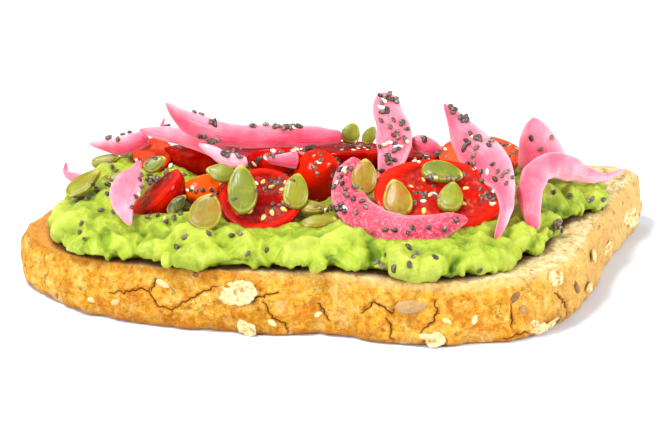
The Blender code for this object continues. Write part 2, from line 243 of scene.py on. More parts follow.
# The slice of bread
bread = {
    "columns": 1060,
    # mm in from the outline, and share of the height
    "crustProfile": [(2.6, 0.0), (1.2, 0.02), (0.5, 0.08), (0.0, 0.26), (-0.1, 0.46), (0.1, 0.66),
                     (0.5, 0.83), (1.4, 0.945), (2.4, 0.985), (3.8, 1.0)],
    "crustRows": 62,
    "height": 16,  # mm, about how thick the slice is: it only spaces the rows up the crust
    "topShares": np.concatenate([np.linspace(0.99, 0.74, 24), [0.6, 0.4, 0.2, 0.03]]),
    "bottomShares": [0.03, 0.5, 0.9],
    "dents": [(17, 0.55), (6.5, 0.6), (2.8, 0.5), (1.2, 0.22)],  # size and depth of unevenness, mm
    "crumbPits": [(2.6, 0.25), (1.2, 0.12)],
    "crackWidth": 0.18,  # mm, the unit of a crack's colour
    "crackDepth": 0.4,  # mm
    "grooveWidth": 0.36,  # mm either side of a crack's middle that sink with it
    "lip": (0.95, 0.45, 0.16),  # mm: how far from a crack its edge curls up, over what width, how high
    "crackReach": (0.6, 1.1),  # mm from a crack where its colour begins to end, and ends
    "farOff": 40.0,  # crack widths that stand for no crack near
    "spreadShadeReach": (0.5, 2.4),  # mm from the spread where the crumb is fully darkened by painted shade under the spread's lip, and where that shade ends
    "footRagged": [(6, 0.7), (2.2, 0.35)],  # size and depth of the lower edge's unevenness, mm
    "backPace": 0.55,  # how much sparser the columns are at the back
}
# The bigger cracks of the crust, as points along the front: millimetres along X and up
crustCracks = [
    [(-58.4, 7.5), (-56.5, 8.4), (-54.4, 8.8), (-52.8, 9.5), (-49.4, 10.1), (-47.7, 8.4), (-46.4, 6.5),
     (-42.8, 5.1)],
    [(-42.8, 5.1), (-37.4, 9.2), (-33.8, 11.6), (-30.7, 12.7)],
    [(-46.5, 13.4), (-47.6, 10.0)],
    [(-19.2, 9.5), (-18.1, 7.6), (-17.0, 5.2), (-14.6, 3.9), (-13.5, 2.5), (-13.2, 0.8)],
    [(-23.1, 9.2), (-19.6, 11.0), (-15.7, 12.2)],
    [(-5.5, 9.0), (-4.5, 7.2), (-3.0, 4.6)],
    [(5.5, 8.2), (8.4, 11.1), (10.9, 9.8), (11.9, 8.6), (13.7, 9.3)],
    [(11.3, 6.9), (12.7, 4.8), (12.6, 2.8), (13.0, 1.1)],
    [(24.6, 9.5), (22.5, 6.5), (20.4, 4.1)],
    [(23.5, 12.4), (24.1, 9.2), (21.1, 4.6)],
    [(42.8, 10.0), (43.0, 4.0)],
    [(54.5, 10.4), (56.8, 6.8), (58.0, 3.0), (57.8, 1.3)],
    [(41.0, 1.2), (45.5, 2.2), (47.9, 1.9)],
]


def crackPaths(tree, jitter=0.6 * mm):
    # Each crack as close points on the crust, wandering a little from the straight way
    paths = []
    for crack in crustCracks:
        line = alongCurve(np.array(crack) * mm, 14 * len(crack))
        spot = np.column_stack([line[:, 0], np.zeros(len(line)), line[:, 1]])
        line += jitter * np.stack([noise(spot, 1.3 * mm, 30), noise(spot, 1.3 * mm, 31)], axis=1)
        line += 0.5 * jitter * np.stack([noise(spot, 0.5 * mm, 32), noise(spot, 0.5 * mm, 33)], axis=1)
        hits = [tree.ray_cast(Vector((x, -0.09, max(z, 0.4 * mm))), Vector((0, 1, 0)))[0] for x, z in line]
        paths.append(np.array([hit[:] for hit in hits if hit]))
    return paths


def crackField(points, paths, width):
    # Signed distance of each point to the nearest crack as seen from the front, in crack widths: the
    # sign says which side it is on, and a crack narrows towards its ends. The distance itself is given
    # too. Depth along Y is left out, because the finished crust lies a little off the path's surface
    points = points * (1, 0, 1)
    nearest = np.full(len(points), 1.0)
    signed = np.full(len(points), bread["farOff"])
    for path in paths:
        path = path * (1, 0, 1)
        shares = np.linspace(0, 1, len(path))
        for start, end, share in zip(path[:-1], path[1:], shares):
            way = end - start
            along = np.clip(((points - start) @ way) / (way @ way), 0, 1)
            off = points - start - along[:, None] * way
            far = np.linalg.norm(off, axis=1)
            side = np.sign(off @ np.cross(way, (0, -1, 0)))
            taper = width * (0.5 + 0.5 * math.sin(math.pi * min(max(share, 0.05), 0.95)))
            closer = far < nearest
            nearest = np.where(closer, far, nearest)
            signed = np.where(closer, np.where(side == 0, 1, side) * far / taper, signed)
    return np.clip(signed, -bread["farOff"], bread["farOff"]), nearest


def breadSurface():
    # Rings from the middle of the underside, out and up the crust along a rounded profile, and in over
    # the top; then each point moves along its normal by noises of several sizes. At a crack it sinks by
    # a bell curve of how far off the crack is, and a second bell beside it lifts the crack's edge
    outline = castOutline(breadTree, lambda x: 0.45 * breadTop(x))
    outline = alongCurve(outline, bread["columns"], closed=True,
                         pace=lambda p: 1 - bread["backPace"] * smoothStep(0.0, 30 * mm, p[:, 1]))
    inward = inwards(outline)
    evenly = (1, bread["height"])  # both in mm, so that the rows are evenly spaced up the crust
    profile = alongCurve(np.array(bread["crustProfile"]) * evenly, bread["crustRows"]) / evenly
    edge = np.column_stack([outline, np.zeros(len(outline))])
    underside = sum(noise(edge, size * mm, 2 + k) * depth * mm for k,
                    (size, depth) in enumerate(bread["footRagged"]))
    rings, crumb = [], []
    for share in bread["bottomShares"]:
        rings.append(np.column_stack([outline * share, np.zeros(len(outline))]))
        crumb.append(0)
    for inset, share in profile:
        ragged = underside * (1 - smoothStep(0.0, 0.3, share))
        ring = outline + inward * (inset * mm + ragged)[:, None]
        rings.append(np.column_stack([ring, share * breadTop(ring[:, 0])]))
        crumb.append(smoothStep(0.95, 0.985, share))
    rim = rings[-1][:, :2]
    for share in bread["topShares"]:
        ring = rim * share
        rings.append(np.column_stack([ring, breadTop(ring[:, 0])]))
        crumb.append(1)
    grid = np.array(rings)
    crumb = np.repeat(np.array(crumb, float)[:, None], grid.shape[1], axis=1)
    normals = gridNormals(grid)
    lift = sum(depth * mm * noise(grid, size * mm, k) for k, (size, depth) in enumerate(bread["dents"]))
    pits = sum(-depth * mm * np.abs(noise(grid, size * mm, 9 + k))
               for k, (size, depth) in enumerate(bread["crumbPits"]))
    lift = lift * (1 - 0.5 * crumb) + pits * crumb
    crack = np.full(grid.shape[:2], bread["farOff"])
    front = (grid[..., 1] < -22 * mm) & (crumb < 0.5) & (grid[..., 2] > 0)
    away = np.ones(grid.shape[:2])
    crack[front], away[front] = crackField(grid[front], crackPaths(breadTree), bread["crackWidth"] * mm)
    groove = np.exp(-(away / (bread["grooveWidth"] * mm)) ** 2)
    lipPlace, lipWidth, lipHeight = bread["lip"]
    curl = np.exp(-((away / mm - lipPlace) / lipWidth) ** 2)
    lift += (lipHeight * curl - bread["crackDepth"] * groove) * mm
    lift *= smoothStep(0, 1.2 * mm, grid[..., 2])
    grid = grid + normals * lift[..., None]
    grid[..., 2] = np.maximum(grid[..., 2], 0)
    # How dark the top is painted close to the spread, as the shade under its overhanging lip, and how far a
    # point is up the rounded rim
    damp = np.zeros(grid.shape[:2])
    soaked, dry = bread["spreadShadeReach"]
    for row, column in np.argwhere(crumb > 0.3):
        far = spreadTree.find_nearest(Vector(grid[row, column]))[3]
        damp[row, column] = 1 - smoothStep(soaked * mm, dry * mm, far)
    share = np.clip(grid[..., 2] / breadTop(grid[..., 0]), 0, 1)
    rim = smoothStep(0.8, 0.95, share) * (1 - crumb)
    ending, ended = bread["crackReach"]
    away = bread["farOff"] * smoothStep(ending * mm, ended * mm, away)
    return grid, {"crumb": crumb, "crack": crack, "away": away, "damp": damp, "rim": rim}


def breadFinish():
    # Toasted crust: dry and matt, saturated golden yellow with redder scorched patches and pale flaky ones, a
    # right end painted paler as if lit from that side, dark cracks in a toasted band that both carry painted
    # shade, and a lighter crumb painted dark brown beside the spread as the shade under its lip. Pores and
    # pits are painted dark as the shade inside them. Its pores and spots are drawn about twice their width, so
    # that they show
    made, tree, shader = newFinish("toasted crust", Roughness=0.85, IOR=1.35, Specular_IOR_Level=0.35)
    place = addNode(tree, "ShaderNodeTexCoord").outputs["Object"]
    read = {key: addNode(tree, "ShaderNodeAttribute", attribute_name=key).outputs["Fac"]
            for key in ("crumb", "crack", "away", "damp", "rim")}
    broad = addNode(tree, "ShaderNodeTexNoise", {"Scale": 1 / (9 * mm), "Detail": 5.0, "Roughness": 0.62,
                                                 "Distortion": 0.4}, {"Vector": place})
    broadTone = addNode(tree, "ShaderNodeValToRGB", links={"Fac": broad.outputs["Fac"]},
                        stops=[(0.38, "#DC8216"), (0.46, "#F2A424"), (0.54, "#FFBC34"), (0.64, "#FFCE58")])
    fine = addNode(tree, "ShaderNodeTexNoise", {"Scale": 1 / (1.9 * mm), "Detail": 7.0, "Roughness": 0.74},
                   {"Vector": place})
    fineTone = addNode(tree, "ShaderNodeValToRGB", links={"Fac": fine.outputs["Fac"]},
                       stops=[(0.38, "#A6560A"), (0.45, "#EE9C1E"), (0.53, "#FFC23C"), (0.62, "#FFE08A")])
    golden = addNode(tree, "ShaderNodeMix", {"Factor": 0.55},
                     {6: broadTone.outputs["Color"], 7: fineTone.outputs["Color"]}, data_type="RGBA")
    scorch = addNode(tree, "ShaderNodeTexNoise", {"Scale": 1 / (5 * mm), "Detail": 6.0, "Roughness": 0.7,
                                                  "Distortion": 0.8}, {"Vector": place})
    scorchShare = addNode(tree, "ShaderNodeMapRange", {"From Min": 0.53, "From Max": 0.6, "To Max": 0.6},
                          {"Value": scorch.outputs["Fac"]})
    flakeShare = addNode(tree, "ShaderNodeMapRange", {"From Min": 0.45, "From Max": 0.36, "To Max": 0.5},
                         {"Value": scorch.outputs["Fac"]})
    parts = addNode(tree, "ShaderNodeSeparateXYZ", links={0: place})
    rimPale = addNode(tree, "ShaderNodeMapRange", {"From Min": -30 * mm, "From Max": 5 * mm, "To Max": 1.3},
                      {"Value": parts.outputs["X"]})
    rimShare = addNode(tree, "ShaderNodeMath", links={0: read["rim"], 1: fine.outputs["Fac"]},
                       operation="MULTIPLY")
    rimLight = addNode(tree, "ShaderNodeMath", links={0: rimShare.outputs[0], 1: rimPale.outputs[0]},
                       operation="MULTIPLY")
    paleShare = addNode(tree, "ShaderNodeMath", links={0: flakeShare.outputs[0], 1: rimLight.outputs[0]},
                        operation="MAXIMUM")
    rimDark = addNode(tree, "ShaderNodeMapRange", {"From Min": -12 * mm, "From Max": -35 * mm,
                                                   "To Max": 0.9}, {"Value": parts.outputs["X"]})
    rimToast = addNode(tree, "ShaderNodeMath", links={0: rimShare.outputs[0], 1: rimDark.outputs[0]},
                       operation="MULTIPLY")
    foot = addNode(tree, "ShaderNodeMapRange", {"From Min": 3 * mm, "From Max": 0.4 * mm, "To Max": 0.7},
                   {"Value": parts.outputs["Z"]})
    footShare = addNode(tree, "ShaderNodeMath", links={0: rimToast.outputs[0], 1: foot.outputs[0]},
                        operation="MAXIMUM")
    # Painted light: the crust is made paler towards its right end, as if lit from that side
    sunny = addNode(tree, "ShaderNodeMapRange", {"From Min": 45 * mm, "From Max": 80 * mm, "To Max": 0.7},
                    {"Value": parts.outputs["X"]})
    # Pale flaky patches together with that painted light
    paler = addNode(tree, "ShaderNodeMath", links={0: paleShare.outputs[0], 1: sunny.outputs[0]},
                    operation="MAXIMUM")
    # Here and in the other finishes, colours are laid one over another, each where its share says
    crustColour = golden.outputs[2]
    for share, colour in ((scorchShare.outputs[0], "#D67A1A"), (footShare.outputs[0], "#B8621A"),
                          (paler.outputs[0], "#FFDC94")):
        crustColour = addNode(tree, "ShaderNodeMix", {7: hexColour(colour)}, {"Factor": share, 6: crustColour},
                              data_type="RGBA").outputs[2]
    pores = addNode(tree, "ShaderNodeTexVoronoi", {"Scale": 1 / (2.2 * mm), "Randomness": 1.0},
                    {"Vector": place})
    # Painted shade: the crumb's pores are darkened as the shade inside the holes
    poreMask = addNode(tree, "ShaderNodeMapRange",
                       {"From Min": 0.1, "From Max": 0.34, "To Min": 0.3, "To Max": 0.0},
                       {"Value": pores.outputs["Distance"]})
    crumbTone = addNode(tree, "ShaderNodeValToRGB", links={"Fac": fine.outputs["Fac"]},
                        stops=[(0.36, "#DDA656"), (0.45, "#F6D48A"), (0.54, "#FFEAB2"), (0.65, "#FFF6CE")])
    browned = addNode(tree, "ShaderNodeMapRange", {"From Min": -45 * mm, "From Max": -65 * mm,
                                                   "To Max": 0.9}, {"Value": parts.outputs["X"]})
    crumbColour = crumbTone.outputs["Color"]
    # Painted shade: close to the spread the crumb turns dark brown, as the shade under the spread's
    # overhanging lip
    for share, colour in ((poreMask.outputs[0], "#9A6428"), (browned.outputs[0], "#F29C34"),
                          (read["damp"], "#5E3610")):
        crumbColour = addNode(tree, "ShaderNodeMix", {7: hexColour(colour)}, {"Factor": share, 6: crumbColour},
                              data_type="RGBA").outputs[2]
    skin = addNode(tree, "ShaderNodeMix", links={"Factor": read["crumb"], 6: crustColour,
                                                 7: crumbColour}, data_type="RGBA")
    spots = addNode(tree, "ShaderNodeTexVoronoi", {"Scale": 1 / (5.5 * mm), "Randomness": 1.0},
                    {"Vector": place})
    spotMask = addNode(tree, "ShaderNodeMapRange",
                       {"From Min": 0.06, "From Max": 0.16, "To Min": 0.7, "To Max": 0.0},
                       {"Value": spots.outputs["Distance"]})
    # Painted shade: small dark specks stand for the shade inside pits in the crust
    specks = addNode(tree, "ShaderNodeTexVoronoi", {"Scale": 1 / (1.5 * mm), "Randomness": 1.0},
                     {"Vector": place})
    speckMask = addNode(tree, "ShaderNodeMapRange",
                        {"From Min": 0.12, "From Max": 0.24, "To Min": 1.0, "To Max": 0.0},
                        {"Value": specks.outputs["Distance"]})
    speckSome = addNode(tree, "ShaderNodeMapRange", {"From Min": 0.52, "From Max": 0.6, "To Max": 0.6},
                        {"Value": fine.outputs["Fac"]})
    speckShare = addNode(tree, "ShaderNodeMath", links={0: speckMask.outputs[0], 1: speckSome.outputs[0]},
                         operation="MULTIPLY")
    bent = addNode(tree, "ShaderNodeTexNoise", {"Scale": 1 / (4 * mm), "Detail": 5.0, "Roughness": 0.7},
                   {"Vector": place})
    bentPlace = addNode(tree, "ShaderNodeMix", {"Factor": 9 * mm}, {4: place, 5: bent.outputs["Color"]},
                        data_type="VECTOR")
    plates = addNode(tree, "ShaderNodeTexVoronoi", {"Scale": 1 / (9 * mm)},
                     {"Vector": bentPlace.outputs[1]}, feature="DISTANCE_TO_EDGE")
    hairline = addNode(tree, "ShaderNodeMapRange",
                       {"From Min": 0.002, "From Max": 0.012, "To Min": 0.8, "To Max": 0.0},
                       {"Value": plates.outputs["Distance"]})
    some = addNode(tree, "ShaderNodeMapRange", {"From Min": 0.5, "From Max": 0.58},
                   {"Value": broad.outputs["Fac"]})
    hair = addNode(tree, "ShaderNodeMath", links={0: hairline.outputs[0], 1: some.outputs[0]},
                   operation="MULTIPLY")
    # The sign of the distance also flips half way between two cracks, which away keeps from showing
    crackOff = addNode(tree, "ShaderNodeMath", links={0: read["crack"]}, operation="ABSOLUTE")
    crackSize = addNode(tree, "ShaderNodeMath", links={0: crackOff.outputs[0], 1: read["away"]},
                        operation="ADD")
    crackMask = addNode(tree, "ShaderNodeMapRange",
                        {"From Min": 0.5, "From Max": 1.2, "To Min": 1.0, "To Max": 0.0},
                        {"Value": crackSize.outputs[0]})
    # Cracks and hairlines painted dark: the crust's own darker cracks, deepened by painted shade inside them
    split = addNode(tree, "ShaderNodeMath", links={0: hair.outputs[0], 1: crackMask.outputs[0]},
                    operation="MAXIMUM")
    # The toasted band round a crack is deepened orange as painted shade of the dent it lies in
    crackBand = addNode(tree, "ShaderNodeMapRange",
                        {"From Min": 0.8, "From Max": 4.0, "To Min": 1.2, "To Max": 0.0},
                        {"Value": crackSize.outputs[0]})
    bandShare = addNode(tree, "ShaderNodeMath", links={0: crackBand.outputs[0], 1: fine.outputs["Fac"]},
                        operation="MULTIPLY")
    surface = skin.outputs[2]
    for share, colour in ((spotMask.outputs[0], "#B25A14"), (speckShare.outputs[0], "#A0540E"),
                          (bandShare.outputs[0], "#CC741A"), (split.outputs[0], "#70360A")):
        surface = addNode(tree, "ShaderNodeMix", {7: hexColour(colour)}, {"Factor": share, 6: surface},
                          data_type="RGBA").outputs[2]
    tree.links.new(surface, shader.inputs["Base Color"])
    grit = addNode(tree, "ShaderNodeTexNoise", {"Scale": 1 / (0.8 * mm), "Detail": 4.0, "Roughness": 0.7},
                   {"Vector": place})
    height = addNode(tree, "ShaderNodeMath", {1: 1.6}, {0: fine.outputs["Fac"], 2: grit.outputs["Fac"]},
                     operation="MULTIPLY_ADD")
    broken = addNode(tree, "ShaderNodeMath", {1: 3.0}, {0: scorch.outputs["Fac"], 2: height.outputs[0]},
                     operation="MULTIPLY_ADD")
    sunk = addNode(tree, "ShaderNodeMath", {1: -0.2}, {0: split.outputs[0], 2: broken.outputs[0]},
                   operation="MULTIPLY_ADD")
    bump = addNode(tree, "ShaderNodeBump", {"Strength": 1.0, "Distance": 0.95 * mm},
                   {"Height": sunk.outputs[0]})
    tree.links.new(bump.outputs["Normal"], shader.inputs["Normal"])
    return made


grid, values = breadSurface()
breadPiece = gridPiece("toasted_slice", grid, breadFinish(), values)
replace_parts(breadPiece, "bread")
print("bread:", grid.shape)


def poseMatrix(tilt, towards, turn):
    # Each topping is worked out lying flat at the origin, then turned so and put where its solid is: a
    # face tilted from level, towards a bearing (0 is -Y, 90 is +X), after a turn in its own plane
    tilt, towards, turn = (math.radians(angle) for angle in (tilt, towards, turn))
    tilted = Matrix.Rotation(towards, 3, "Z") @ Matrix.Rotation(tilt, 3, "X")
    return np.array(tilted @ Matrix.Rotation(turn, 3, "Z"))


def middleOf(points):
    # The middle of the box round some points
    points = points.reshape(-1, 3)
    return (points.min(axis=0) + points.max(axis=0)) / 2


def putAt(points, node):
    # Moves points so that the middle of their box is that of the node's box
    low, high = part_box(node)
    return points - middleOf(points) + np.array((low + high) / 2)


toppings = []  # the points of each one's surface, which press into the spread under them


# Shelled pumpkin seeds
pumpkinSeed = {
    "rows": 34,
    "columns": 44,
    "thickness": 2.4,  # mm
    "narrowing": 0.2,  # how much narrower the pointed half is
    "rimAt": 0.93,  # share of the way out
    "rimWidth": 0.05,
    "rimHeight": 0.14,  # share of half its thickness
    "swell": (0.78, 0.25),  # its thickness inside the rim, and how much more in the middle
    "dip": (0.82, 0.07, 0.12),  # where it dips inside the rim, how wide and how deep
    "groove": (0.83, 0.06),  # where painted shade darkens the skin in the dip inside the rim, and how wide
}
# Length, width, tilt, towards, turn, and how golden its skin is, from 0 green to 1
pumpkinSeeds = [
    (8.0, 4.6, 45, 0, 163, 0.2), (13.7, 7.2, 48, 0, 93, 0.12), (9.8, 8.4, 55, -10, 77, 0.62),
    (10.2, 6.4, 45, 15, 75, 0.3), (9.6, 6.8, 55, 10, 81, 0.78), (10.6, 7.3, 45, -5, 104, 0.85),
    (9.6, 6.5, 32, 0, 81, 0.3), (10.9, 6.2, 32, 0, -13, 0.1), (5.8, 4.8, 60, 0, 75, 0.25),
    (5.5, 3.6, 60, 0, 60, 0.2), (11.2, 5.1, 50, -30, 48, 0.35), (6.4, 3.9, 50, -10, 36, 0.1),
    (8.0, 3.4, 50, 0, 11, 0.3), (5.8, 3.3, 50, 0, 27, 0.25), (8.7, 3.5, 30, 0, -7, 0.5),
    (9.2, 4.0, 30, 0, 13, 0.45), (5.0, 2.8, 60, 0, 119, 0.1), (6.8, 3.6, 60, 0, 51, 0.0),
]


def pumpkinSeedSurface(length, width, number):
    # Across the length the outline is an oval drawn to a point at +X; over it each face is a lens of
    # that thickness, with a rim that stands up just inside the edge and a shallow dip inside the rim
    along = np.linspace(0.02, math.pi - 0.02, pumpkinSeed["rows"])[:, None]
    around = np.linspace(0, 2 * math.pi, pumpkinSeed["columns"], endpoint=False)[None, :]
    x = np.cos(along) + 0 * around
    half = np.sin(along) ** np.where(np.cos(along) > 0, 1.3, 0.9) * (1 - pumpkinSeed["narrowing"] * x)
    y = half * np.cos(around)
    out = np.sqrt(np.clip(x ** 2 + (np.sin(along) * np.cos(around)) ** 2, 0, 1))
    rim = np.exp(-((out - pumpkinSeed["rimAt"]) / pumpkinSeed["rimWidth"]) ** 2)
    least, more = pumpkinSeed["swell"]
    dipAt, dipWidth, dipDepth = pumpkinSeed["dip"]
    swollen = least + more * (1 - out ** 2) - dipDepth * np.exp(-((out - dipAt) / dipWidth) ** 2)
    lens = np.sqrt(np.clip(1 - out ** 9, 0, 1)) * (swollen + pumpkinSeed["rimHeight"] * rim)
    z = np.sign(np.sin(around)) * lens
    grid = np.stack([x * length / 2, y * width / 2, z * pumpkinSeed["thickness"] / 2 + 0 * x], axis=-1) * mm
    grid[..., 1] += 0.35 * mm * noise(grid, 5 * mm, 40 + number)
    grid[..., 2] += 0.4 * mm * noise(grid * (1, 1, 0.1), 6 * mm, 60 + number)
    # Painted shade: how much the skin is darkened in the dip just inside the rim
    grooveAt, grooveWidth = pumpkinSeed["groove"]
    groove = np.exp(-((out - grooveAt) / grooveWidth) ** 2)
    return grid, {"rim": rim, "groove": groove, "along": x, "across": y * width / 2}


def pumpkinFinish():
    # Shelled pumpkin seed: a thin dry skin, olive to golden green with fine streaks along it and a paler rim
    # and tip, catching a soft broad highlight; painted shade darkens the dip inside the rim
    made, tree, shader = newFinish("pumpkin seed skin", Roughness=0.36, IOR=1.45, Subsurface_Weight=0.1,
                                   Subsurface_Radius=(0.6, 0.7, 0.2), Subsurface_Scale=0.001)
    read = {key: addNode(tree, "ShaderNodeAttribute", attribute_name=key).outputs["Fac"]
            for key in ("rim", "groove", "along", "across", "tone")}
    apart = addNode(tree, "ShaderNodeMath", {1: 37.0}, {0: read["tone"]}, operation="MULTIPLY")
    streakPlace = addNode(tree, "ShaderNodeCombineXYZ",
                          links={"X": read["along"], "Y": read["across"], "Z": apart.outputs[0]})
    streaks = addNode(tree, "ShaderNodeTexNoise", {"Scale": 0.9, "Detail": 4.0, "Roughness": 0.55},
                      {"Vector": streakPlace.outputs[0]})
    place = addNode(tree, "ShaderNodeTexCoord").outputs["Object"]
    mottle = addNode(tree, "ShaderNodeTexNoise", {"Scale": 1 / (3 * mm), "Detail": 4.0, "Roughness": 0.6},
                     {"Vector": place})
    toneRamp = addNode(tree, "ShaderNodeValToRGB", links={"Fac": read["tone"]},
                       stops=[(0.0, "#3D3F0A"), (0.1, "#677518"), (0.35, "#858A1D"), (0.65, "#87751D"),
                              (1.0, "#986A14")])
    darkShare = addNode(tree, "ShaderNodeMapRange", {"From Min": 0.5, "From Max": 0.7, "To Max": 0.55},
                        {"Value": streaks.outputs["Fac"]})
    lightShare = addNode(tree, "ShaderNodeMapRange", {"From Min": 0.52, "From Max": 0.7, "To Max": 0.5},
                         {"Value": mottle.outputs["Fac"]})
    # Painted shade in the dip inside the rim
    grooveShare = addNode(tree, "ShaderNodeMath", {1: 0.35}, {0: read["groove"]}, operation="MULTIPLY")
    rust = addNode(tree, "ShaderNodeMapRange", {"From Min": 0.5, "From Max": 0.38},
                   {"Value": mottle.outputs["Fac"]})
    rustShare = addNode(tree, "ShaderNodeMath", links={0: rust.outputs[0], 1: read["tone"]},
                        operation="MULTIPLY")
    tip = addNode(tree, "ShaderNodeMapRange", {"From Min": 0.72, "From Max": 0.97},
                  {"Value": read["along"]})
    rimSome = addNode(tree, "ShaderNodeMapRange", {"From Min": 0.4, "From Max": 0.62, "To Max": 0.7},
                      {"Value": mottle.outputs["Fac"]})
    rimShare = addNode(tree, "ShaderNodeMath", links={0: read["rim"], 1: rimSome.outputs[0]},
                       operation="MULTIPLY")
    pale = addNode(tree, "ShaderNodeMath", links={0: rimShare.outputs[0], 1: tip.outputs[0]},
                   operation="MAXIMUM")
    surface = toneRamp.outputs["Color"]
    for share, colour in ((darkShare.outputs[0], "#564E0E"), (lightShare.outputs[0], "#A59A36"),
                          (grooveShare.outputs[0], "#65540C"), (rustShare.outputs[0], "#9C560F"),
                          (pale.outputs[0], "#C5B33F")):
        surface = addNode(tree, "ShaderNodeMix", {7: hexColour(colour)}, {"Factor": share, 6: surface},
                          data_type="RGBA").outputs[2]
    tree.links.new(surface, shader.inputs["Base Color"])
    bump = addNode(tree, "ShaderNodeBump", {"Strength": 0.6, "Distance": 0.25 * mm},
                   {"Height": streaks.outputs["Fac"]})
    tree.links.new(bump.outputs["Normal"], shader.inputs["Normal"])
    return made


finish = pumpkinFinish()
for number, (length, width, tilt, towards, turn, tone) in enumerate(pumpkinSeeds, start=1):
    node = f"pumpkin_seed_{number}"
    grid, values = pumpkinSeedSurface(length, width, number)
    grid = putAt(grid @ poseMatrix(tilt, towards, turn).T, node)
    values["tone"] = np.full(grid.shape[:2], tone)
    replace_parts(gridPiece(f"shelled_seed_{number}", grid, finish, values), node)
    toppings.append(grid)
print("pumpkin seeds:", len(pumpkinSeeds))


# Cherry tomato halves
tomato = {
    "faceRows": 34,
    "skinRows": 24,
    "columns": 120,
    "wall": 0.80,  # where the wall's inner side is, as a share of the face
    "chamberDepth": 1.1,  # mm that a chamber is sunk
    "gelRise": 0.5,  # mm that the gel fills it up again
    "wallRise": 0.5,  # mm that the wall stands up
    "rimDrop": 0.5,  # mm that the cut's edge is rounded down
    "ripple": 0.22,  # mm
    "seedLength": 1.9,  # mm
    "seedsEach": 12,
    "seedOut": (0.42, 0.66),  # how far out they lie, as shares of the face
}
# Half length, half width, depth, tilt, towards, turn, how orange it is, from 0 deep red to 1, and how
# clearly the cut face shows its chambers
tomatoes = [
    (17.0, 11.5, 10.0, 32, 0, -6, 0.5, 0.4), (10.8, 10.4, 8.0, 32, 0, 0, 0.25, 0.65),
    (7.6, 9.0, 7.6, 42, -85, 0, 0.35, 0.1), (6.6, 9.6, 6.8, -75, 0, 0, 0.65, 0.1),
    (10.6, 8.5, 10.0, -8, 0, 0, 0.2, 0.2), (6.8, 6.0, 6.0, -55, 15, 0, 0.95, 0.1),
    (11.5, 8.5, 9.0, 18, 20, 0, 0.85, 0.15), (12.0, 9.0, 9.0, -25, 0, 0, 0.15, 0.2),
    (8.5, 8.0, 9.5, -8, 0, 0, 0.3, 0.2), (9.2, 7.0, 7.0, -40, 0, 0, 0.3, 0.2),
    (5.2, 6.0, 7.0, 25, 0, 0, 0.75, 0.2),
]


def locules(x, y, number):
    # Depth shares of the two seed chambers of a cut face, either side of the core along X
    out = np.hypot(x, y) + 0.06 * noise(np.stack([x, y, 0 * x + number], axis=-1), 0.5, 70)
    core = np.abs(y + 0.1 * noise(np.stack([x, y, 0 * x + number], axis=-1), 0.9, 71))
    cross = np.abs(x + 0.2 * noise(np.stack([x, y, 0 * x + number], axis=-1), 0.7, 72))
    wall = 1 - smoothStep(tomato["wall"] - 0.1, tomato["wall"], out)
    return wall * smoothStep(0.07, 0.2, core) * (0.45 + 0.55 * smoothStep(0.03, 0.16, cross))


def tomatoSurface(halfLength, halfWidth, depth, clear, number):
    # The cut face is a disc whose wall stands round two sunken chambers of gel; past its rounded rim the
    # skin is half of an egg shape
    around = np.linspace(0, 2 * math.pi, tomato["columns"], endpoint=False)[None, :]
    out = np.linspace(0.015, 0.985, tomato["faceRows"])[:, None]
    down = np.linspace(0.03, math.pi / 2 - 0.01, tomato["skinRows"])[:, None]
    x, y = out * np.cos(around), out * np.sin(around)
    gel = clear * locules(x, y, number)
    chamber = tomato["gelRise"] * gel ** 3 - tomato["chamberDepth"] * gel
    wall = tomato["wallRise"] * clear * smoothStep(0.7, 0.86, out)
    sunk = chamber - tomato["rimDrop"] * smoothStep(0.9, 1.0, out) + wall
    ripple = tomato["ripple"] * noise(np.stack([x * halfLength, y * halfWidth, 0 * x], axis=-1), 1.6,
                                      number)
    face = np.stack([x * halfLength, y * halfWidth, sunk + ripple * (0.3 + 0.7 * gel)], axis=-1)
    skin = np.stack([np.cos(down) * np.cos(around) * halfLength, np.cos(down) * np.sin(around) * halfWidth,
                     -np.sin(down) * depth + 0 * around], axis=-1)
    grid = np.concatenate([face, skin]) * mm
    grid += 0.35 * mm * unit(grid) * noise(grid, 9 * mm, 50 + number)[..., None]
    isFace = np.concatenate([1 - smoothStep(0.93, 0.97, out + 0 * around), 0 * skin[..., 0]])
    gelMask = np.concatenate([gel, 0 * skin[..., 0]])
    rim = np.concatenate([np.exp(-((out - 0.9) / 0.08) ** 2) + 0 * around, 0 * skin[..., 0]])
    return grid, {"face": isFace, "gel": gelMask, "rim": rim}


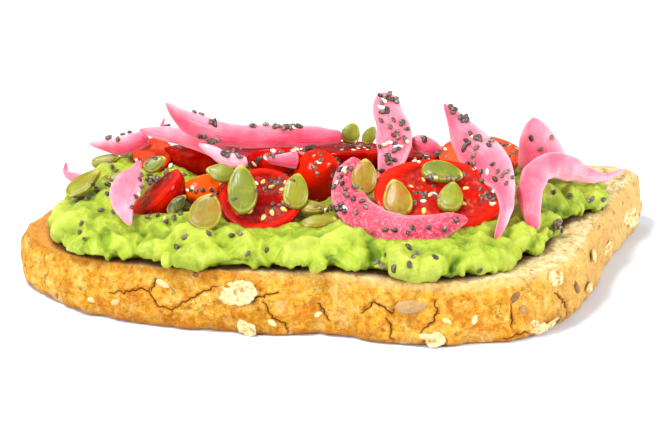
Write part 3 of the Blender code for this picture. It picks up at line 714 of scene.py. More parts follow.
def tomatoFinish():
    # Cherry tomato: a taut skin with small sharp highlights over wet flesh; the cut wall is a brighter
    # red than the dark gel in its chambers
    made, tree, shader = newFinish("cherry tomato", Roughness=0.12, IOR=1.4, Specular_IOR_Level=0.2,
                                   Subsurface_Weight=0.15, Subsurface_Radius=(1.0, 0.1, 0.05),
                                   Subsurface_Scale=0.0015)
    read = {key: addNode(tree, "ShaderNodeAttribute", attribute_name=key).outputs["Fac"]
            for key in ("face", "gel", "rim", "tone")}
    place = addNode(tree, "ShaderNodeTexCoord").outputs["Object"]
    skinRamp = addNode(tree, "ShaderNodeValToRGB", links={"Fac": read["tone"]},
                       stops=[(0.0, "#7C0000"), (0.3, "#B00300"), (0.65, "#CE1A02"), (1.0, "#EE5A10")])
    broad = addNode(tree, "ShaderNodeTexNoise", {"Scale": 1 / (5 * mm), "Detail": 2.0}, {"Vector": place})
    blotch = addNode(tree, "ShaderNodeMapRange", {"From Min": 0.5, "From Max": 0.75, "To Max": 0.5},
                     {"Value": broad.outputs["Fac"]})
    skin = addNode(tree, "ShaderNodeMix", {7: hexColour("#E42A04")},
                   {"Factor": blotch.outputs[0], 6: skinRamp.outputs["Color"]}, data_type="RGBA")
    fleshRamp = addNode(tree, "ShaderNodeValToRGB", links={"Fac": read["tone"]},
                        stops=[(0.0, "#700000"), (0.3, "#A00602"), (0.65, "#C41A06"), (0.85, "#E25A30"),
                               (1.0, "#E86A3A")])
    fine = addNode(tree, "ShaderNodeTexNoise", {"Scale": 1 / (1.6 * mm), "Detail": 4.0, "Roughness": 0.6},
                   {"Vector": place})
    grain = addNode(tree, "ShaderNodeMapRange", {"From Min": 0.54, "From Max": 0.74, "To Max": 0.45},
                    {"Value": fine.outputs["Fac"]})
    rimShare = addNode(tree, "ShaderNodeMath", {1: 0.45}, {0: read["rim"]}, operation="MULTIPLY")
    cutColour = fleshRamp.outputs["Color"]
    for share, colour in ((grain.outputs[0], "#DC3C22"), (rimShare.outputs[0], "#D8301C")):
        cutColour = addNode(tree, "ShaderNodeMix", {7: hexColour(colour)}, {"Factor": share, 6: cutColour},
                            data_type="RGBA").outputs[2]
    gelTone = addNode(tree, "ShaderNodeValToRGB", links={"Fac": fine.outputs["Fac"]},
                      stops=[(0.34, "#4E0000"), (0.47, "#840602"), (0.58, "#A82408"), (0.7, "#C07A20")])
    wet = addNode(tree, "ShaderNodeMix", links={"Factor": read["gel"], 6: cutColour,
                                                7: gelTone.outputs["Color"]}, data_type="RGBA")
    cut = addNode(tree, "ShaderNodeMix", links={"Factor": read["face"], 6: skin.outputs[2],
                                                7: wet.outputs[2]}, data_type="RGBA")
    tree.links.new(cut.outputs[2], shader.inputs["Base Color"])
    duller = addNode(tree, "ShaderNodeMath", {1: 0.3, 2: 0.12}, {0: read["face"]}, operation="MULTIPLY_ADD")
    tree.links.new(duller.outputs[0], shader.inputs["Roughness"])
    glossy = addNode(tree, "ShaderNodeMath", {1: -0.16, 2: 0.2}, {0: read["face"]},
                     operation="MULTIPLY_ADD")
    wetGel = addNode(tree, "ShaderNodeMath", {1: 0.5}, {0: read["gel"], 2: glossy.outputs[0]},
                     operation="MULTIPLY_ADD")
    tree.links.new(wetGel.outputs[0], shader.inputs["Specular IOR Level"])
    bumpy = addNode(tree, "ShaderNodeMath", links={0: fine.outputs["Fac"], 1: read["face"]},
                    operation="MULTIPLY")
    bump = addNode(tree, "ShaderNodeBump", {"Strength": 0.7, "Distance": 0.5 * mm},
                   {"Height": bumpy.outputs[0]})
    tree.links.new(bump.outputs["Normal"], shader.inputs["Normal"])
    return made


finish = tomatoFinish()
chamberSeeds = []  # place, three axes, for the seeds in the gel
seedRandom = np.random.default_rng(21)
for number, numbers in enumerate(tomatoes, start=1):
    halfLength, halfWidth, depth, tilt, towards, turn, tone, clear = numbers
    node = f"tomato_{number}"
    grid, values = tomatoSurface(halfLength, halfWidth, depth, clear, number)
    turnBy = poseMatrix(tilt, towards, turn)
    shift = middleOf(putAt(grid @ turnBy.T, node)) - middleOf(grid @ turnBy.T)
    grid = grid @ turnBy.T + shift
    values["tone"] = np.full(grid.shape[:2], tone)
    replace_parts(gridPiece(f"tomato_half_{number}", grid, finish, values), node)
    toppings.append(grid)
    around = np.linspace(0, 2 * math.pi, tomato["seedsEach"], endpoint=False)
    around += seedRandom.uniform(-0.15, 0.15, tomato["seedsEach"])
    out = seedRandom.uniform(*tomato["seedOut"], tomato["seedsEach"])
    for angle, share in zip(around, out):
        x, y = share * math.cos(angle), share * math.sin(angle)
        if clear * locules(np.array([x]), np.array([y]), number)[0] > 0.25:
            spot = np.array([x * halfLength, y * halfWidth, -0.45]) * mm
            lie = np.array(Matrix.Rotation(angle + seedRandom.uniform(-0.5, 0.5), 3, "Z"))
            chamberSeeds.append((turnBy @ spot + shift, turnBy @ lie))
print("tomatoes:", len(tomatoes))


def scatteredGrains(name, places, axes, sizes, finish, tones, rows=7, columns=9):
    # Many small egg shapes in one mesh, from arrays: each has a place, three axes, three half sizes and
    # a number for its tone. At +X each is a little pointed
    along = np.linspace(0.25, math.pi - 0.25, rows)[:, None]
    around = np.linspace(0, 2 * math.pi, columns, endpoint=False)[None, :]
    x = np.cos(along) + 0 * around
    ring = np.sin(along) * (1 - 0.18 * np.cos(along))
    shape = np.stack([x, ring * np.cos(around), ring * np.sin(around)], axis=-1).reshape(-1, 3)
    shape = np.vstack([shape, [(1, 0, 0), (-1, 0, 0)]])
    turned = np.array(axes) * np.array(sizes)[:, None, :]
    points = np.einsum("nij,pj->npi", turned, shape) + np.array(places)[:, None, :]
    quads, triangles = closedGrid(rows, columns)
    offsets = np.arange(len(places))[:, None, None] * len(shape)
    values = {"tone": np.repeat(tones, len(shape))}
    return makePiece(name, points.reshape(-1, 3), (quads + offsets).reshape(-1, 4),
                     (triangles + offsets).reshape(-1, 3), finish, values)


# Tomato seeds: straw yellow, under a wet coat of gel
seedFinish = newFinish("tomato seed", Base_Color=hexColour("#EFC768"), Roughness=0.15, IOR=1.4,
                       Coat_Weight=0.7)[0]
half = tomato["seedLength"] / 2 * mm
sizes = seedRandom.uniform(0.75, 1.15, (len(chamberSeeds), 1)) * np.array([half, 0.62 * half, 0.4 * half])
scatteredGrains("tomato_seeds", [s[0] for s in chamberSeeds], [s[1] for s in chamberSeeds], sizes,
                seedFinish,
                seedRandom.uniform(0, 1, len(chamberSeeds)))


# Slivers of pickled onion
onion = {
    "step": 0.6,  # mm along a sliver
    "columns": 32,
    "thickness": 1.5,  # mm
    "bulge": 0.12,  # how far its middle stands out, as a share of its width
    "ripple": 0.4,  # mm that its edges bend in and out
    "fineRipple": 0.12,  # mm
    "wander": 0.3,  # mm that its edges run from side to side
    "squareness": 0.2,  # 0 is a square edge, 1 a round one
}
# Each sliver: its route and, at equal steps along it, its widths, in millimetres, which way its broad
# side faces, its blush at the start, the end, and how much more at its lower edge, and its grain
upright = (0.0, -0.94, 0.34)
leaning = (0.0, -0.8, 0.6)
onions = [
    ([(5.3, -6, 34.4), (2.2, -10, 32), (1.9, -16, 29), (4.4, -23, 26.2), (9.6, -28.5, 24.6),
      (15.7, -31.5, 24.2),
      (22.3, -31.5, 24.6), (27.9, -30.5, 26.1), (32.4, -29, 26.7)],
     (4.2, 6.6, 8.4, 9.2, 9.4, 9.2, 8.8, 8.0, 6.2, 1.4), leaning, (0.8, 0.85, 0.1), 1),
    ([(27.5, 2, 48), (30.8, 0, 43.5), (34.2, -3, 39), (38, -8, 35.7), (41, -14, 33.6), (42.5, -20, 31.6),
      (42.8, -25, 29.3), (41.6, -29, 26.2), (39.5, -32, 21.6)],
     (0.8, 5.0, 8.6, 11.0, 11.0, 8.4, 5.2, 3.6, 2.4, 1.2), upright, (0.5, 0.35, 0.3), 0),
    ([(11.9, 8, 49), (12.3, 6, 45.5), (14.2, 3, 40.3), (14.1, -1, 36), (12.5, -5, 32.5), (10.6, -9, 29)],
     (4.0, 7.4, 8.2, 9.6, 9.2, 7.2, 4.0, 1.6), upright, (0.25, 0.6, 0.1), 0),
    ([(49.6, -24, 21.8), (48.9, -20, 25.6), (48.9, -14, 28.8), (51.2, -6, 31.2), (56, 2, 30.6),
      (61.2, 9, 27.2),
      (66.4, 16, 23), (72.1, 21, 20.7), (77.4, 25, 21.3)],
     (2.6, 6.0, 7.0, 6.6, 7.0, 6.6, 4.8, 2.4, 0.8), upright, (0.5, -0.05, -0.2), 0),
    ([(-52.5, -4, 34), (-53.5, -9, 32.5), (-55, -16, 31), (-55.5, -22, 28.5), (-53.5, -28, 25)],
     (1.4, 3.0, 6.4, 7.8, 6.6, 4.0, 0.8), upright, (0.35, 0.2, 0.06), 0),
    ([(-45, -2.3, 49.3), (-41.5, -0.3, 44.8), (-35.5, 2.7, 40.3), (-28, 5.7, 37.8), (-18.5, 7.7, 36.8),
      (-8, 8.0, 36.7), (1, 7.7, 36.8)],
     (1.2, 4.6, 6.6, 6.4, 6.2, 6.2, 6.0, 5.4, 3.2), upright, (0.3, 0.65, 0.25), 0),
    ([(-53.5, 15, 36.2), (-48, 12, 36.2), (-39.5, 9, 35.7), (-30.5, 8.4, 32.9), (-23.5, 8.6, 31.4),
      (-17, 9, 31.3), (-12, 9, 32)],
     (0.6, 3.6, 4.6, 5.2, 6.4, 6.8, 5.6, 3.2), upright, (0.15, 0.85, 0.1), 0),
    ([(-37, 1, 37), (-33, -1, 35), (-29, -3, 33.6), (-24, -4, 33.1)],
     (0.6, 2.6, 3.4, 3.9, 3.0), upright, (0.0, 0.1, 0.08), 0),
    ([(-19, -2.4, 33.4), (-15, -3.4, 34), (-10.5, -3.4, 33.9)], (1.2, 3.4, 5.6), upright, (0.7, 0.45, 0.2),
     0),
    ([(19, 4, 37.2), (22.5, 3, 36), (26.8, 2, 34.6)], (2.4, 4.6, 4.2, 2.2), upright, (0.45, 0.6, 0.3), 0),
    ([(51.8, 12, 41), (52.7, 11, 36.3), (53.8, 10, 31.8), (54.3, 8, 27)],
     (2.0, 6.8, 10.0, 12.0, 13.0, 12.0), upright, (0.25, 0.55, 0.05), 0),
    ([(-67.5, 18, 31), (-64, 17, 31), (-58.5, 17, 30.8), (-51.5, 17, 33.3)],
     (0.6, 3.2, 5.0, 5.2, 4.0), upright, (0.1, 0.6, 0.35), 0),
    ([(-46.5, 14, 40.5), (-47.5, 14, 37.5), (-49, 14, 35.6)], (0.4, 1.2, 2.4), upright, (0.35, 0.4, 0.0),
     0),
    ([(-73, 8, 29.5), (-73, 7, 27), (-71, 6, 26), (-68, 4, 25.5)], (0.4, 1.6, 2.4, 1.6), upright,
     (0.5, 0.25, 0.0), 0),
]


def onionSurface(route, widths, facing, number):
    # A band carried along the route, as thick as the slice was cut: its widths run smoothly through the
    # ones given, its middle stands out like a shallow arch, and its edges ripple a little
    route = np.array(route, float) * mm
    length = np.linalg.norm(np.diff(route, axis=0), axis=1).sum()
    rows = int(length / (onion["step"] * mm))
    middle = alongCurve(route, rows)
    along = unit(np.gradient(middle, axis=0))
    outward = unit(np.array(facing) - (along @ np.array(facing))[:, None] * along)
    across = np.cross(along, outward)
    t = np.linspace(0, 1, rows)
    steps = np.linspace(0, 1, len(widths))
    half = np.interp(t, *alongCurve(np.stack([steps, widths], axis=1), 200).T) * mm / 2
    ends = np.sqrt(np.clip(1 - (1 - np.minimum(np.minimum(t, 1 - t) * rows / 2.0, 1)) ** 2, 0.03, 1))
    around = np.linspace(0, 2 * math.pi, onion["columns"], endpoint=False)
    side = (np.sign(np.cos(around)) * np.abs(np.cos(around)) ** 0.8)[None, :]
    thick = np.sign(np.sin(around)) * np.abs(np.sin(around)) ** onion["squareness"]
    thickness = onion["thickness"] * mm * np.minimum(1, 0.5 + half / (2.2 * mm))
    arch = (onion["bulge"] * 2 * half * ends)[:, None] * (1 - side ** 2)
    offset = (arch + (thickness / 2 * ends)[:, None] * thick)[..., None]
    sideways = (half * ends)[:, None, None] * side[..., None]
    grid = middle[:, None] + sideways * across[:, None] + offset * outward[:, None]
    edge = middle[:, None] + 4 * mm * np.sign(side)[..., None] * across[:, None]
    ripple = onion["ripple"] * mm * noise(edge, 6.5 * mm, 80 + number) * side ** 2
    fine = onion["fineRipple"] * mm * noise(grid, 2.5 * mm, 95)
    grid = grid + ripple[..., None] * outward[:, None] + fine[..., None] * outward[:, None]
    wander = onion["wander"] * mm * noise(edge, 5 * mm, 110 + number) * side ** 2
    grid = grid + (wander * np.sign(side))[..., None] * across[:, None]
    return grid[:, ::-1], t, side[:, ::-1]


def onionFinish():
    # Pickled red onion: wet and half clear, so light glows through it; the colour runs from pale at
    # thin edges to a deep pink where the layer was red, with fine veins along it. One sliver shows
    # the grainy inner side of its skin, drawn coarser than it is
    made, tree, shader = newFinish("pickled onion", Roughness=0.3, IOR=1.36, Subsurface_Weight=0.35,
                                   Subsurface_Radius=(1.0, 0.4, 0.5), Subsurface_Scale=0.0012)
    read = {key: addNode(tree, "ShaderNodeAttribute", attribute_name=key).outputs["Fac"]
            for key in ("blush", "along", "across", "grain", "edge")}
    veinPlace = addNode(tree, "ShaderNodeCombineXYZ", links={"X": read["along"], "Y": read["across"]})
    veins = addNode(tree, "ShaderNodeTexNoise", {"Scale": 1.3, "Detail": 4.0, "Roughness": 0.55},
                    {"Vector": veinPlace.outputs[0]})
    place = addNode(tree, "ShaderNodeTexCoord").outputs["Object"]
    broad = addNode(tree, "ShaderNodeTexNoise", {"Scale": 1 / (6 * mm), "Detail": 3.0}, {"Vector": place})
    shifted = addNode(tree, "ShaderNodeMath", {1: 0.8}, {0: broad.outputs["Fac"], 2: read["blush"]},
                      operation="MULTIPLY_ADD")
    veined = addNode(tree, "ShaderNodeMath", {1: 0.3}, {0: veins.outputs["Fac"], 2: shifted.outputs[0]},
                     operation="MULTIPLY_ADD")
    centred = addNode(tree, "ShaderNodeMath", {1: 0.5}, {0: veined.outputs[0]}, operation="SUBTRACT")
    tone = addNode(tree, "ShaderNodeValToRGB", links={"Fac": centred.outputs[0]},
                   stops=[(0.0, "#F2A6B4"), (0.25, "#EA8294"), (0.5, "#E46078"), (0.75, "#D4425E"),
                          (1.0, "#BE2846")])
    skinEdge = addNode(tree, "ShaderNodeMath", {1: 0.55}, {0: read["edge"]}, operation="MULTIPLY")
    cells = addNode(tree, "ShaderNodeTexNoise", {"Scale": 1 / (0.7 * mm), "Detail": 2.0, "Roughness": 0.6},
                    {"Vector": place})
    speck = addNode(tree, "ShaderNodeMapRange", {"From Min": 0.5, "From Max": 0.66, "To Max": 0.55},
                    {"Value": cells.outputs["Fac"]})
    speckShare = addNode(tree, "ShaderNodeMath", links={0: speck.outputs[0], 1: read["grain"]},
                         operation="MULTIPLY")
    dull = addNode(tree, "ShaderNodeMapRange", {"From Min": 0.58, "From Max": 0.38, "To Max": 0.5},
                   {"Value": cells.outputs["Fac"]})
    dullShare = addNode(tree, "ShaderNodeMath", links={0: dull.outputs[0], 1: read["grain"]},
                        operation="MULTIPLY")
    surface = tone.outputs["Color"]
    for share, colour in ((skinEdge.outputs[0], "#F8BCCA"), (speckShare.outputs[0], "#E2909A"),
                          (dullShare.outputs[0], "#9C384C")):
        surface = addNode(tree, "ShaderNodeMix", {7: hexColour(colour)}, {"Factor": share, 6: surface},
                          data_type="RGBA").outputs[2]
    tree.links.new(surface, shader.inputs["Base Color"])
    rough = addNode(tree, "ShaderNodeMath", links={0: cells.outputs["Fac"], 1: read["grain"],
                                                   2: veins.outputs["Fac"]}, operation="MULTIPLY_ADD")
    bump = addNode(tree, "ShaderNodeBump", {"Strength": 0.6, "Distance": 0.45 * mm},
                   {"Height": rough.outputs[0]})
    tree.links.new(bump.outputs["Normal"], shader.inputs["Normal"])
    return made


finish = onionFinish()
for number, (route, widths, facing, blush, grain) in enumerate(onions, start=1):
    node = f"onion_{number}"
    grid, t, side = onionSurface(route, widths, facing, number)
    grid = putAt(grid, node)
    start, end, lower = blush
    values = {
        "blush": (start + (end - start) * t)[:, None] + lower * side,
        "grain": np.full(grid.shape[:2], grain),
        "along": (t * len(t) * onion["step"] / 6)[:, None] + 0 * side,
        "across": max(widths) / 2 * side + 0 * t[:, None] + number * 20,
        "edge": side ** 6 + 0 * t[:, None],
    }
    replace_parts(gridPiece(f"onion_sliver_{number}", grid, finish, values), node)
    toppings.append(grid)
print("onions:", len(onions))


# The mashed avocado
avocado = {
    "columns": 980,
    # mm in from the outline, mm above the bread, and how far it follows the ragged lip
    "profile": [(9.0, -0.6, 0.0), (5.0, -0.5, 0.0), (2.8, 0.0, 0.5), (1.3, 0.3, 1.0), (0.3, 0.8, 1.0),
                (0.0, 1.8, 0.5), (0.8, 3.8, 0.1), (3.2, 5.6, 0.0), (7.6, 7.1, 0.0)],
    "profileRows": 44,
    "topShares": np.concatenate([np.linspace(0.985, 0.68, 22), [0.6, 0.5, 0.4, 0.3, 0.2, 0.1, 0.03]]),
    "topRise": 1.5,  # mm that its middle is higher
    "outlineAt": 1.8,  # mm above the bread, where its solid's outline is read
    "backPace": 0.6,  # how much sparser the columns are at the back
    "raggedNoise": [(6, 0.8), (2.4, 0.45), (1, 0.2)],  # size and depth of its outline's unevenness, mm
    "lumpNoise": [(9.5, 3.0), (4.2, 1.2), (2.0, 0.2)],  # size and height, mm
    "ridgeNoise": [(6.0, 1.3), (2.4, 0.2)],
    "pressSlope": 0.9,  # how steeply it may rise beside a topping
    "pressDepth": 0.4,  # mm that it may rise past a topping's underside
    "swells": [(-60, 12, 13, 4.0), (-6, -14, 9, -4.0), (-20, -24, 8, -2.2), (25, -29, 9, -1.5),
               (66, 22, 14, -3.5), (-58, 22, 8, 2.6)],  # place, reach and height, mm
    # Where it is wet from the tomatoes: place and reach, mm
    "juice": [(-4, -22, 7), (4, -19, 5), (-36, -23, 4)],
    # Where its edge lies further in: place, reach and how far, mm
    "drawnIn": (-72, -14, 12, 2.6),
}
# Height of the lip above the bread along the front: mm along X, mm. Dips hang onto the crust
lipHeights = [(-74, 0.3), (-66, 0.4), (-60.5, 0.9), (-59.6, -0.4), (-58.6, 1.3), (-57, 1.7), (-55.3, 0.2),
              (-53, 1.4),
              (-49.5, 2.0), (-45.5, 0.8), (-41, 0.6), (-36.4, -0.1), (-32, 0.5), (-27, 1.2), (-20.7, 0.2),
              (-14.4, 1.7), (-12.9, -0.2), (-9.7, 1.6), (-5.7, -0.4), (-2.3, 1.6), (1, 0.3), (8, 0.7),
              (13, 0.4),
              (19.5, -0.6), (23.3, 1.6), (27.9, 0.2), (30.5, 1.5), (34.5, -0.1), (41.5, 0.5), (46, 1.5),
              (51, 0.2)]
# Lumps that stand out of it: middle, radius and height in mm
avocadoLumps = [
    (-64.6, -23.2, 21.3, 5.5, 1.3), (-67.8, -25.1, 18, 4, 1.0), (-52.8, -30.9, 20.7, 5, 1.5),
    (-58, -27.6, 22, 3.5, 0.9), (-44, -37.1, 20.3, 4, 1.2), (-37, -39.6, 19.4, 5, 1.4),
    (-35.3, -34.8, 23.5, 5, 1.1), (-25, -33, 24.2, 6, 1.0), (-18, -37.8, 21.9, 5, 0.9),
    (-5.5, -40.5, 19.7, 5, 1.5), (-0.3, -37, 23.6, 5, 1.7), (1.8, -41, 20, 3.5, 1.1),
    (13.5, -42, 22.4, 5, 1.8), (17.3, -47, 20.1, 5.5, 1.4), (24.5, -46.7, 21.6, 4.5, 1.5),
    (36, -43, 20, 4.5, 1.2), (43, -37.4, 20.2, 6, 1.6), (47.6, -28.3, 22, 6, 0.9),
    (56, -13.5, 19.4, 4, 1.6), (56.3, -1.5, 23.2, 5, 1.6), (62.7, 1.3, 21, 5, 1.6),
    (68, 7, 18.8, 4, 1.3),
]
# Ridges left by the knife, height and width in mm, and creases, which have less than no height
avocadoLines = [
    (1.3, 1.1, [(-50.2, -31.9, 19.4), (-48.1, -32.4, 21), (-44.2, -33.4, 22.9), (-39.3, -30.8, 24.1),
                (-33.3, -27.7, 25.2)]),
    (1.7, 1.2, [(-14.5, -40.1, 19.5), (-12, -39, 21.8), (-5.5, -36.2, 23.6), (2.3, -34.5, 25)]),
    (1.1, 1.2, [(5.2, -33.1, 25.5), (5.6, -37.6, 24), (4.8, -40.3, 22.3)]),
    (1.2, 1.0, [(19.8, -44.8, 23), (23.5, -42.7, 24.2), (28.7, -39.9, 24.6)]),
    (1.7, 1.1, [(30.3, -46, 19.7), (32.8, -42, 22.8), (36.5, -34, 24.6)]),
    (1.6, 1.0, [(48.6, -31, 17.5), (50.6, -26.4, 19.5), (53.4, -20.5, 21.5)]),
    (-1.6, 1.1, [(-2.6, -39.5, 22), (-1.9, -41, 19)]),
    (-2.4, 1.3, [(7.6, -37.5, 24.6), (8.6, -41.4, 22.2), (7.9, -42, 19.5)]),
    (-1.5, 1.1, [(-29.6, -39.7, 19.1), (-26.6, -39.2, 19.8), (-23.9, -38.9, 19.1)]),
    (-1.6, 1.0, [(-51.5, -24.9, 23.9), (-49.6, -30, 21.7), (-51, -32, 19.2)]),
    (-1.4, 1.0, [(27.8, -46.6, 18.6), (28.8, -45.5, 21.6), (29.9, -42.8, 23)]),
    (-4.2, 2.0, [(55, -8, 23.5), (59, -8, 20), (63, -5, 18.0)]),
    (-1.8, 1.2, [(52.5, -17.5, 21.5), (56, -17, 18.5)]),
    (-2.4, 1.5, [(38.5, -42, 22.5), (43, -38, 23.3), (50, -30.5, 22)]),
]


def nearLine(points, line):
    # Distance of each point to a line through places
    nearest = np.full(points.shape[:-1], np.inf)
    for start, end in zip(line[:-1], line[1:]):
        way = end - start
        along = np.clip(((points - start) @ way) / (way @ way), 0, 1)
        nearest = np.minimum(nearest, np.linalg.norm(points - start - along[..., None] * way, axis=-1))
    return nearest


def underToppings(grid, cell=0.8 * mm):
    # Height that the spread may reach at each point: the underside of what lies on it, rising away from it
    low = np.array(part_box("avocado_spread")[0])[:2] - 6 * mm
    high = np.array(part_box("avocado_spread")[1])[:2] + 6 * mm
    lowest = np.full(((high - low) / cell).astype(int) + 2, 1.0)
    for points in toppings:
        spots = points.reshape(-1, 3)
        inside = ((spots[:, :2] > low) & (spots[:, :2] < high)).all(axis=1)
        cells = ((spots[inside, :2] - low) / cell).round().astype(int)
        np.minimum.at(lowest, (cells[:, 0], cells[:, 1]), spots[inside, 2])
    for step in range(9):
        for axis in (0, 1):
            for way in (-1, 1):
                lowest = np.minimum(lowest, np.roll(lowest, way, axis=axis) + avocado["pressSlope"] * cell)
    at = np.clip((grid[..., :2] - low) / cell, 0, np.array(lowest.shape) - 1.001)
    first = at.astype(int)
    share = at - first
    x, y = first[..., 0], first[..., 1]
    across = lowest[x, y] * (1 - share[..., 0]) + lowest[x + 1, y] * share[..., 0]
    beyond = lowest[x, y + 1] * (1 - share[..., 0]) + lowest[x + 1, y + 1] * share[..., 0]
    return across * (1 - share[..., 1]) + beyond * share[..., 1]


def avocadoSurface():
    # Rings from under the spread, out to its ragged lip, over its rounded front and in over the top, then
    # moved along their normals: lumps are sizes of noise, its sign dropped, which leaves creases where it
    # crossed nought, ridges are the same turned over, and the big ones are listed
    outline = castOutline(spreadTree, lambda x: breadTop(x) + avocado["outlineAt"] * mm)
    outline = alongCurve(outline, avocado["columns"], closed=True,
                         pace=lambda p: 1 - avocado["backPace"] * smoothStep(0.0, 12 * mm, p[:, 1]))
    inward = inwards(outline)
    edge = np.column_stack([outline, np.zeros(len(outline))])
    ragged = sum(depth * noise(edge, size * mm, 11 + k) for k,
                 (size, depth) in enumerate(avocado["raggedNoise"]))
    x, y, reach, inset = avocado["drawnIn"]
    ragged += inset * np.exp(-(np.linalg.norm(outline - np.array((x, y)) * mm,
                                              axis=-1) / (reach * mm)) ** 2)
    lipX, lipZ = np.array(lipHeights).T
    front = 1 - smoothStep(-18 * mm, -8 * mm, outline[:, 1])
    lip = front * np.interp(outline[:, 0] / mm, lipX,
                            lipZ) + (1 - front) * (0.7 + 1.2 * noise(edge, 5 * mm, 14))
    lip = lip + 0.35 * noise(edge, 1.3 * mm, 15)
    rings, heights = [], []
    for inset, height, share in alongCurve(avocado["profile"], avocado["profileRows"]):
        ring = outline + inward * ((inset + share * ragged) * mm)[:, None]
        rings.append(np.column_stack([ring, breadTop(ring[:, 0]) + (height + share * lip) * mm]))
        heights.append(height)
    rim = rings[-1]
    middle = rim[:, :2].mean(axis=0)
    for share in avocado["topShares"]:
        ring = middle + (rim[:, :2] - middle) * share
        rise = avocado["profile"][-1][1] + avocado["topRise"] * (1 - share ** 3)
        rings.append(np.column_stack([ring, breadTop(ring[:, 0]) + rise * mm]))
        heights.append(rise)
    grid = np.array(rings)
    for x, y, reach, height in avocado["swells"]:
        far = np.linalg.norm(grid[..., :2] - np.array((x, y)) * mm, axis=-1) / (reach * mm)
        grid[..., 2] += height * mm * np.exp(-far ** 2) * np.clip(np.array(heights) / 7, 0, 1)[:, None]
    normals = gridNormals(grid)
    bent = warped(grid, 7 * mm, 1.6 * mm, 20)
    lift = np.zeros(grid.shape[:2])
    for k, (size, height) in enumerate(avocado["lumpNoise"]):
        lift += height * (np.abs(noise(bent, size * mm, 24 + k)) - 0.25)
    for k, (size, height) in enumerate(avocado["ridgeNoise"]):
        lift += height * ((1 - np.abs(noise(bent, size * mm, 28 + k))) ** 3 - 0.3)
    for x, y, z, radius, height in avocadoLumps:
        far = np.linalg.norm(bent - np.array((x, y, z)) * mm, axis=-1) / (radius * mm)
        lift += height * np.clip(1 - far ** 2, 0, 1) ** 1.5
    for height, width, line in avocadoLines:
        far = nearLine(grid + 0.5 * (bent - grid), np.array(line, float) * mm) / (width * mm)
        lift += height * np.exp(-far ** 2)
    lift *= smoothStep(-0.4, 1.2, np.array(heights))[:, None]
    grid = grid + normals * (lift * mm)[..., None]
    allowed = underToppings(grid) + avocado["pressDepth"] * mm
    # Where toppings lie on it, and a few juice spots: later painted olive, under the toppings as their shade
    pressed = smoothStep(-2.0 * mm, 1.0 * mm, grid[..., 2] - allowed)
    for x, y, reach in avocado["juice"]:
        far = np.linalg.norm(grid[..., :2] - np.array((x, y)) * mm, axis=-1) / (reach * mm)
        pressed = np.maximum(pressed, np.exp(-far ** 4) * (grid[..., 2] > 20 * mm))
    grid[..., 2] = np.minimum(grid[..., 2], allowed)
    return grid, {"raised": lift, "pressed": pressed}


def avocadoFinish():
    # Mashed avocado: soft, moist and a little see-through, bright yellow green; its raised lumps are painted
    # creamier as painted light and its hollows greener as painted shade, with painted olive shade where the
    # toppings lie on it and tomato juice at a few spots
    made, tree, shader = newFinish("mashed avocado", Roughness=0.3, IOR=1.42, Subsurface_Weight=0.2,
                                   Subsurface_Radius=(1.0, 1.0, 0.25), Subsurface_Scale=0.0005)
    read = {key: addNode(tree, "ShaderNodeAttribute", attribute_name=key).outputs["Fac"]
            for key in ("raised", "pressed")}
    place = addNode(tree, "ShaderNodeTexCoord").outputs["Object"]
    broad = addNode(tree, "ShaderNodeTexNoise", {"Scale": 1 / (6 * mm), "Detail": 5.0, "Roughness": 0.6,
                                                 "Distortion": 0.8}, {"Vector": place})
    tone = addNode(tree, "ShaderNodeValToRGB", links={"Fac": broad.outputs["Fac"]},
                   stops=[(0.38, "#82980C"), (0.46, "#98AE1A"), (0.54, "#A6B82A"), (0.64, "#B4C040")])
    # Painted light on the raised lumps, and painted shade in the hollows between them
    high = addNode(tree, "ShaderNodeMapRange", {"From Min": 0.4, "From Max": 2.4, "To Max": 0.5},
                   {"Value": read["raised"]})
    low = addNode(tree, "ShaderNodeMapRange", {"From Min": 0.1, "From Max": -1.1, "To Max": 0.9},
                  {"Value": read["raised"]})
    # Painted shade in olive under the toppings, together with tomato juice at the listed spots
    wetShare = addNode(tree, "ShaderNodeMath", {1: 0.8}, {0: read["pressed"]}, operation="MULTIPLY")
    fine = addNode(tree, "ShaderNodeTexNoise", {"Scale": 1 / (1.6 * mm), "Detail": 6.0, "Roughness": 0.7},
                   {"Vector": place})
    fleck = addNode(tree, "ShaderNodeMapRange", {"From Min": 0.54, "From Max": 0.68, "To Max": 0.35},
                    {"Value": fine.outputs["Fac"]})
    surface = tone.outputs["Color"]
    for share, colour in ((high.outputs[0], "#C2CA50"), (low.outputs[0], "#5F8206"),
                          (wetShare.outputs[0], "#7C7412"), (fleck.outputs[0], "#CEDA70")):
        surface = addNode(tree, "ShaderNodeMix", {7: hexColour(colour)}, {"Factor": share, 6: surface},
                          data_type="RGBA").outputs[2]
    tree.links.new(surface, shader.inputs["Base Color"])
    bump = addNode(tree, "ShaderNodeBump", {"Strength": 0.9, "Distance": 1.0 * mm},
                   {"Height": fine.outputs["Fac"]})
    tree.links.new(bump.outputs["Normal"], shader.inputs["Normal"])
    return made


grid, values = avocadoSurface()
avocadoPiece = gridPiece("mashed_avocado_spread", grid, avocadoFinish(), values)
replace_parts(avocadoPiece, "avocado_spread")
print("avocado:", grid.shape)


# What is scattered over it all
scatter = {
    "chiaSize": (2.0, 1.3, 0.95),  # length, width and thickness in mm
    "paleSize": (2.1, 1.2, 0.8),
    "sizeRange": (0.85, 1.12),  # the least and most of a seed's size, as shares of the one above
    "seedLift": 0.28,  # share of its thickness that a seed's middle is above what it lies on
    "tipping": 0.25,  # how unevenly seeds lie
    "viewTilt": 20,  # degrees: seeds are dropped along a slope, from above the front edge
    "dropFrom": 0.2,  # m up that slope
    "lowest": 12,  # mm: none lies lower than this
    "backSeeds": 90,
    "backPale": 0.12,  # share of them that are pale
    "backLift": 1.0,  # mm, the thickness that places the dark ones
    "flakeLift": 0.35,  # mm that an oat flake's middle stands off the crust
    "grainSink": 0.1,  # mm that a grain's middle is sunk into it
}
